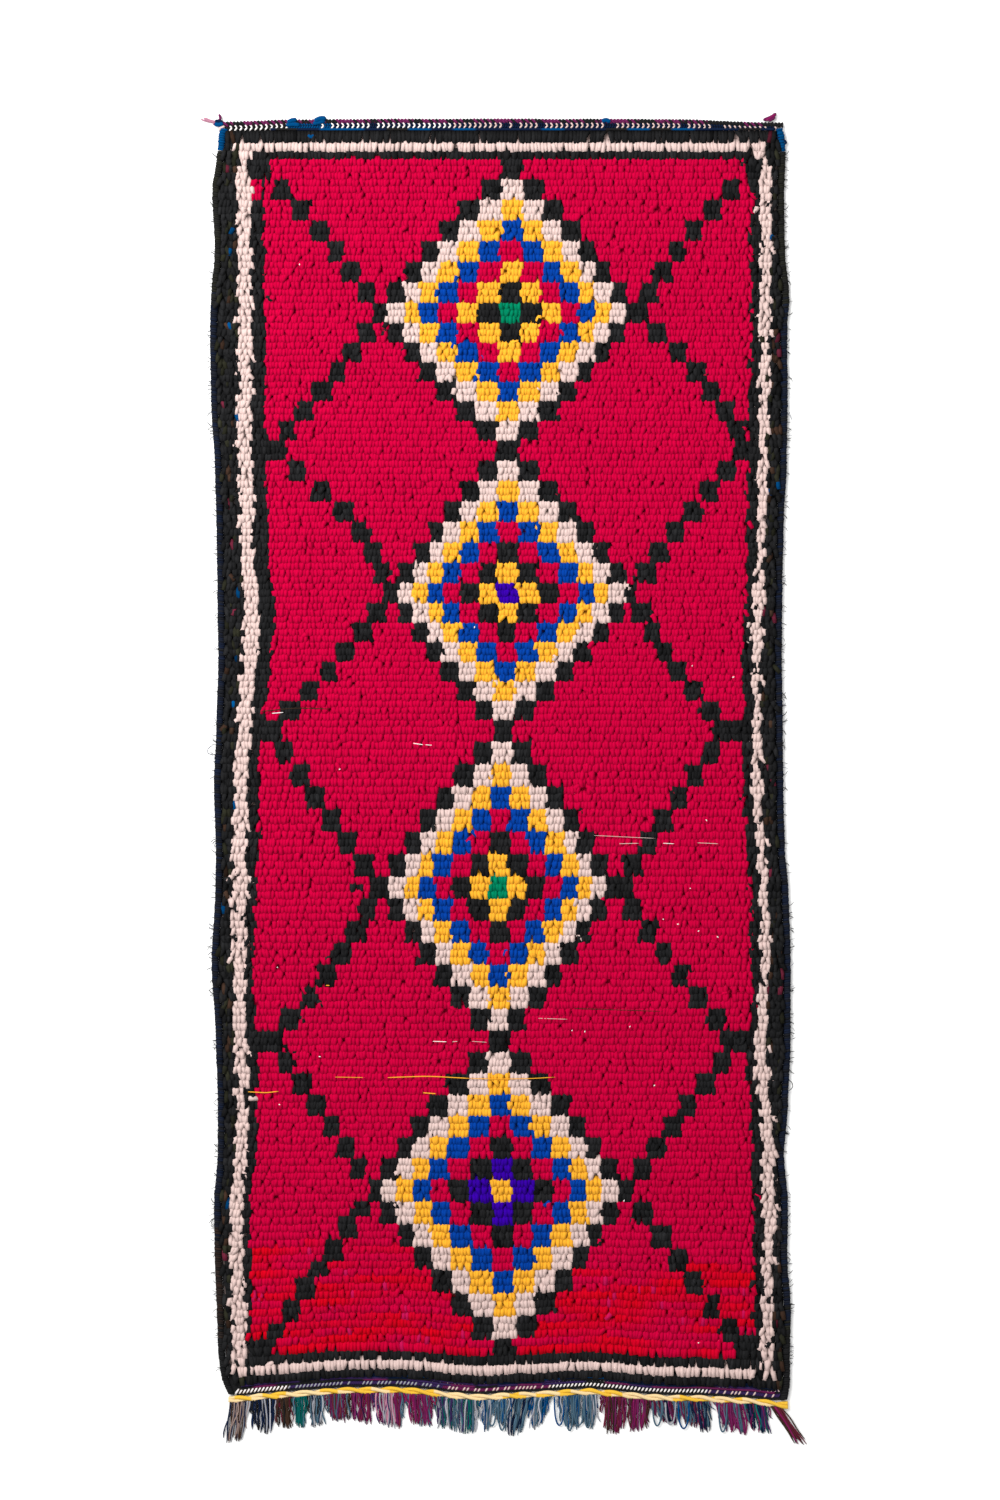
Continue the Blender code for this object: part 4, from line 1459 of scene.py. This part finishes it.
class YarnColour:
    """Node group: a dyed yarn's colour, uneven from lock to lock and over the rug, with painted shade towards each
    lock's root and painted shade and highlight along its fibres.
    """

    NAME = "Yarn colour"
    NUMBERS = (
        ("Tone", 0.5), ("Lift", 1.0), ("Tone spread", 0.2), ("Root shade", 0.3),
        ("Mottling", 0.1), ("Mottling scale", 8.0), ("Fibre shade", 0.2), ("Fibre scale", 900.0),
        ("Fibre stretch", 0.2),
    )

    @classmethod
    def group(cls) -> bpy.types.NodeTree:
        """The group, built once.

        Returns:
            The node group.
        """
        made = bpy.data.node_groups.get(cls.NAME)
        if made is not None:
            return made
        tree = bpy.data.node_groups.new(cls.NAME, "ShaderNodeTree")
        tree.interface.new_socket("Dye", in_out="INPUT", socket_type="NodeSocketColor")
        for name, value in cls.NUMBERS:
            socket = tree.interface.new_socket(name, in_out="INPUT", socket_type="NodeSocketFloat")
            socket.default_value = value
        tree.interface.new_socket("Place", in_out="INPUT", socket_type="NodeSocketVector")
        tree.interface.new_socket("Colour", in_out="OUTPUT", socket_type="NodeSocketColor")
        tree.interface.new_socket("Fibres", in_out="OUTPUT", socket_type="NodeSocketFloat")
        cls.wire(tree)
        return tree

    @staticmethod
    def wire(tree: bpy.types.NodeTree) -> None:
        """Wire the group.

        Args:
            tree: The empty group.
        """
        given = add_node(tree, "NodeGroupInput").outputs
        result = add_node(tree, "NodeGroupOutput")
        tone = math_node(tree, "MULTIPLY_ADD", given["Tone"], 2.0, -1.0)
        tone = math_node(tree, "MULTIPLY_ADD", tone, given["Tone spread"], 1.0)
        # Painted shade: the colour darkens towards the root of each lock, deep in the pile.
        risen = math_node(tree, "SMOOTH_MIN", given["Lift"], 0.5, 0.2)
        root = math_node(tree, "MULTIPLY_ADD", risen, 2.0, -1.0)
        root = math_node(tree, "MULTIPLY_ADD", root, given["Root shade"], 1.0)
        broad = add_node(tree, "ShaderNodeTexNoise")
        broad.inputs["Detail"].default_value = 3.0
        tree.links.new(given["Place"], broad.inputs["Vector"])
        tree.links.new(given["Mottling scale"], broad.inputs["Scale"])
        patch = math_node(tree, "MULTIPLY_ADD", broad.outputs["Fac"], 2.0, -1.0)
        patch = math_node(tree, "MULTIPLY_ADD", patch, given["Mottling"], 1.0)
        spread = add_node(tree, "ShaderNodeCombineXYZ")
        tree.links.new(given["Fibre scale"], spread.inputs["X"])
        tree.links.new(given["Fibre scale"], spread.inputs["Z"])
        along = math_node(tree, "MULTIPLY", given["Fibre scale"], given["Fibre stretch"])
        tree.links.new(along, spread.inputs["Y"])
        stretched = add_node(tree, "ShaderNodeVectorMath", operation="MULTIPLY")
        tree.links.new(given["Place"], stretched.inputs[0])
        tree.links.new(spread.outputs["Vector"], stretched.inputs[1])
        fine = add_node(tree, "ShaderNodeTexNoise")
        fine.inputs["Scale"].default_value = 1.0
        fine.inputs["Detail"].default_value = 2.0
        tree.links.new(stretched.outputs["Vector"], fine.inputs["Vector"])
        # Painted shade and highlight: the fibre noise that drives the bump also darkens the colour between fibres and
        # lightens it on their crowns.
        hair = math_node(tree, "MULTIPLY_ADD", fine.outputs["Fac"], 2.0, -1.0)
        hair = math_node(tree, "MULTIPLY_ADD", hair, given["Fibre shade"], 1.0)
        whole = math_node(tree, "MULTIPLY", math_node(tree, "MULTIPLY", tone, root),
                          math_node(tree, "MULTIPLY", patch, hair))
        scaled = add_node(tree, "ShaderNodeVectorMath", operation="SCALE")
        tree.links.new(given["Dye"], scaled.inputs[0])
        tree.links.new(whole, scaled.inputs["Scale"])
        tree.links.new(scaled.outputs["Vector"], result.inputs["Colour"])
        tree.links.new(fine.outputs["Fac"], result.inputs["Fibres"])


@dataclass(frozen=True)
class YarnFinish:
    """Finish of one kind of yarn, with the strength of its painted shade; its dye comes from the mesh."""

    name: str
    slot: str
    roughness: float = 0.92
    sheen: float = 0.0
    specular: float = 0.03
    tone_spread: float = 0.18
    root_shade: float = 0.25
    mottling: float = 0.08
    mottling_scale: float = 9.0
    fibre_shade: float = 0.30
    fibre_scale: float = 900.0
    fibre_stretch: float = 0.16
    bump: float = 0.0006

    def dress(self) -> bpy.types.Material:
        """Make the material.

        Returns:
            The material.
        """
        made = bpy.data.materials.new(self.name)
        made.use_nodes = True
        tree = made.node_tree
        shader = tree.nodes["Principled BSDF"]
        shader.inputs["Roughness"].default_value = self.roughness
        shader.inputs["Specular IOR Level"].default_value = self.specular
        shader.inputs["Sheen Weight"].default_value = self.sheen
        shader.inputs["Sheen Roughness"].default_value = 0.6
        colour = add_node(tree, "ShaderNodeGroup", node_tree=YarnColour.group())
        place = add_node(tree, "ShaderNodeTexCoord")
        tree.links.new(place.outputs["Object"], colour.inputs["Place"])
        for name, socket, output in (("dye", "Dye", "Color"), ("tone", "Tone", "Fac"), ("lift", "Lift", "Fac")):
            read = add_node(tree, "ShaderNodeAttribute", attribute_name=name)
            tree.links.new(read.outputs[output], colour.inputs[socket])
        for name, value in (
            ("Tone spread", self.tone_spread), ("Root shade", self.root_shade),
            ("Mottling", self.mottling), ("Mottling scale", self.mottling_scale),
            ("Fibre shade", self.fibre_shade), ("Fibre scale", self.fibre_scale),
            ("Fibre stretch", self.fibre_stretch),
        ):
            colour.inputs[name].default_value = value
        tree.links.new(colour.outputs["Colour"], shader.inputs["Base Color"])
        bump = add_node(tree, "ShaderNodeBump")
        bump.inputs["Strength"].default_value = 0.6
        bump.inputs["Distance"].default_value = self.bump
        tree.links.new(colour.outputs["Fibres"], bump.inputs["Height"])
        tree.links.new(bump.outputs["Normal"], shader.inputs["Normal"])
        return made


@dataclass
class Studio:
    """A plain pale floor, soft light and a camera straight above the rug."""

    lens: float = 85.0
    view_length: float = 3.066
    centre: tuple[float, float] = (-0.0031, 0.0593)
    floor_size: float = 60.0
    sky: float = 0.86
    key_power: float = 330.0
    key_size: float = 3.2
    key_place: tuple[float, float, float] = (-2.6, 2.4, 3.8)

    def build(self) -> None:
        """Set the studio."""
        self.floor()
        self.light()
        self.camera()

    def floor(self) -> None:
        """Lay the floor."""
        shape = bmesh.new()
        bmesh.ops.create_grid(shape, x_segments=1, y_segments=1, size=self.floor_size / 2.0)
        mesh = bpy.data.meshes.new("studio_floor")
        shape.to_mesh(mesh)
        shape.free()
        material = bpy.data.materials.new("pale floor")
        material.use_nodes = True
        shader = material.node_tree.nodes["Principled BSDF"]
        shader.inputs["Base Color"].default_value = (0.93, 0.93, 0.925, 1.0)
        shader.inputs["Roughness"].default_value = 0.9
        shader.inputs["Specular IOR Level"].default_value = 0.0
        mesh.materials.append(material)
        made = bpy.data.objects.new("studio_floor", mesh)
        bpy.context.scene.collection.objects.link(made)

    def light(self) -> None:
        """Fill the room with even light and add one large soft lamp from the upper left."""
        world = bpy.data.worlds.new("studio")
        world.use_nodes = True
        background = world.node_tree.nodes["Background"]
        background.inputs["Color"].default_value = (1.0, 1.0, 1.0, 1.0)
        background.inputs["Strength"].default_value = self.sky
        bpy.context.scene.world = world
        lamp = bpy.data.lights.new("soft key", "AREA")
        lamp.energy = self.key_power
        lamp.size = self.key_size
        made = bpy.data.objects.new("soft key", lamp)
        made.location = self.key_place
        made.rotation_mode = "QUATERNION"
        made.rotation_quaternion = (-Vector(self.key_place)).to_track_quat("-Z", "Y")
        bpy.context.scene.collection.objects.link(made)

    def camera(self) -> None:
        """Hang the camera straight above."""
        lens = bpy.data.cameras.new("camera")
        lens.lens = self.lens
        made = bpy.data.objects.new("camera", lens)
        made.location = (*self.centre, self.view_length * self.lens / lens.sensor_width)
        lens.clip_end = 100.0
        bpy.context.scene.collection.objects.link(made)
        bpy.context.scene.camera = made
        bpy.context.scene.view_settings.view_transform = "Standard"


PILE_FINISHES = {
    Dye.CRIMSON: YarnFinish("crimson pile", "pile_crimson", tone_spread=0.13, root_shade=0.15),
    # Painted highlight and shade: a wide tone spread and strong fibre shade on the black pile stand in for its glints
    # and dark places.
    Dye.BLACK: YarnFinish("black pile", "pile_black", tone_spread=0.8, fibre_shade=0.7),
    Dye.CREAM: YarnFinish("cream pile", "pile_cream", tone_spread=0.10, root_shade=0.35),
    Dye.YELLOW: YarnFinish("yellow pile", "pile_yellow", tone_spread=0.10, root_shade=0.35),
    Dye.BLUE: YarnFinish("blue pile", "pile_blue", tone_spread=0.16),
    Dye.GREEN: YarnFinish("green pile", "pile_green"),
    Dye.VIOLET: YarnFinish("violet pile", "pile_violet"),
}
EDGE = {"fibre_scale": 700.0, "fibre_stretch": 0.5, "root_shade": 0.0}


def main() -> None:
    """Build the rug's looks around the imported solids."""
    logging.basicConfig(level=logging.INFO, format="%(message)s")
    rng = np.random.default_rng(1968)
    outline = Outline(frame["nodes"])
    chart = Chart(outline, rng)
    _, pile = Pile().build(chart, PILE_FINISHES, rng)
    ground = Ground().build(chart, YarnFinish("ground weave", "foundation", root_shade=0.0))
    navy = YarnFinish("overcast yarn", "selvedge_yarn", tone_spread=0.4, **EDGE)
    blue = YarnFinish("corner yarn", "corner_yarn", tone_spread=0.25, **EDGE)
    for side in ("left", "right"):
        OvercastSide("selvedge_" + side, "selvedge_yarn", 0.0100, Dye.NAVY).build(outline, navy, rng)
        OvercastSide("corner_wrap_" + side, "corner_yarn", 0.0115, Dye.PEACOCK).build(outline, blue, rng)
    PliedCord("top_end_cord", "top_cord_yarn", True, 0.012, 0.0105, 0.014, (Dye.PLUM, Dye.BLACK), 0.02).build(
        outline, YarnFinish("dark cord", "top_cord_yarn", **EDGE), rng
    )
    gold = (Dye.GOLD, Dye.STRAW, Dye.STRAW, Dye.GOLD)
    PliedCord("bottom_end_cord", "bottom_cord_yarn", False, 0.015, 0.010, 0.090, gold, 0.035).build(
        outline, YarnFinish("gold cord", "bottom_cord_yarn", **EDGE), rng
    )
    Twining().build(outline, chart, YarnFinish("twining yarn", "twining_yarn", **EDGE), rng)
    Fringe().build(outline, YarnFinish("fringe yarn", "fringe_yarn", tone_spread=0.5, **EDGE), rng)
    loose = LooseEnds()
    loose.ties(YarnFinish("yarn ends", "tie_yarn", **EDGE))
    loose.blue_knots(YarnFinish("blue yarn", "corner_yarn", **EDGE))
    loose.strays(outline, YarnFinish("stray threads", "tie_yarn", **EDGE), rng)
    Studio().build()


if __name__ == "__main__":
    main()
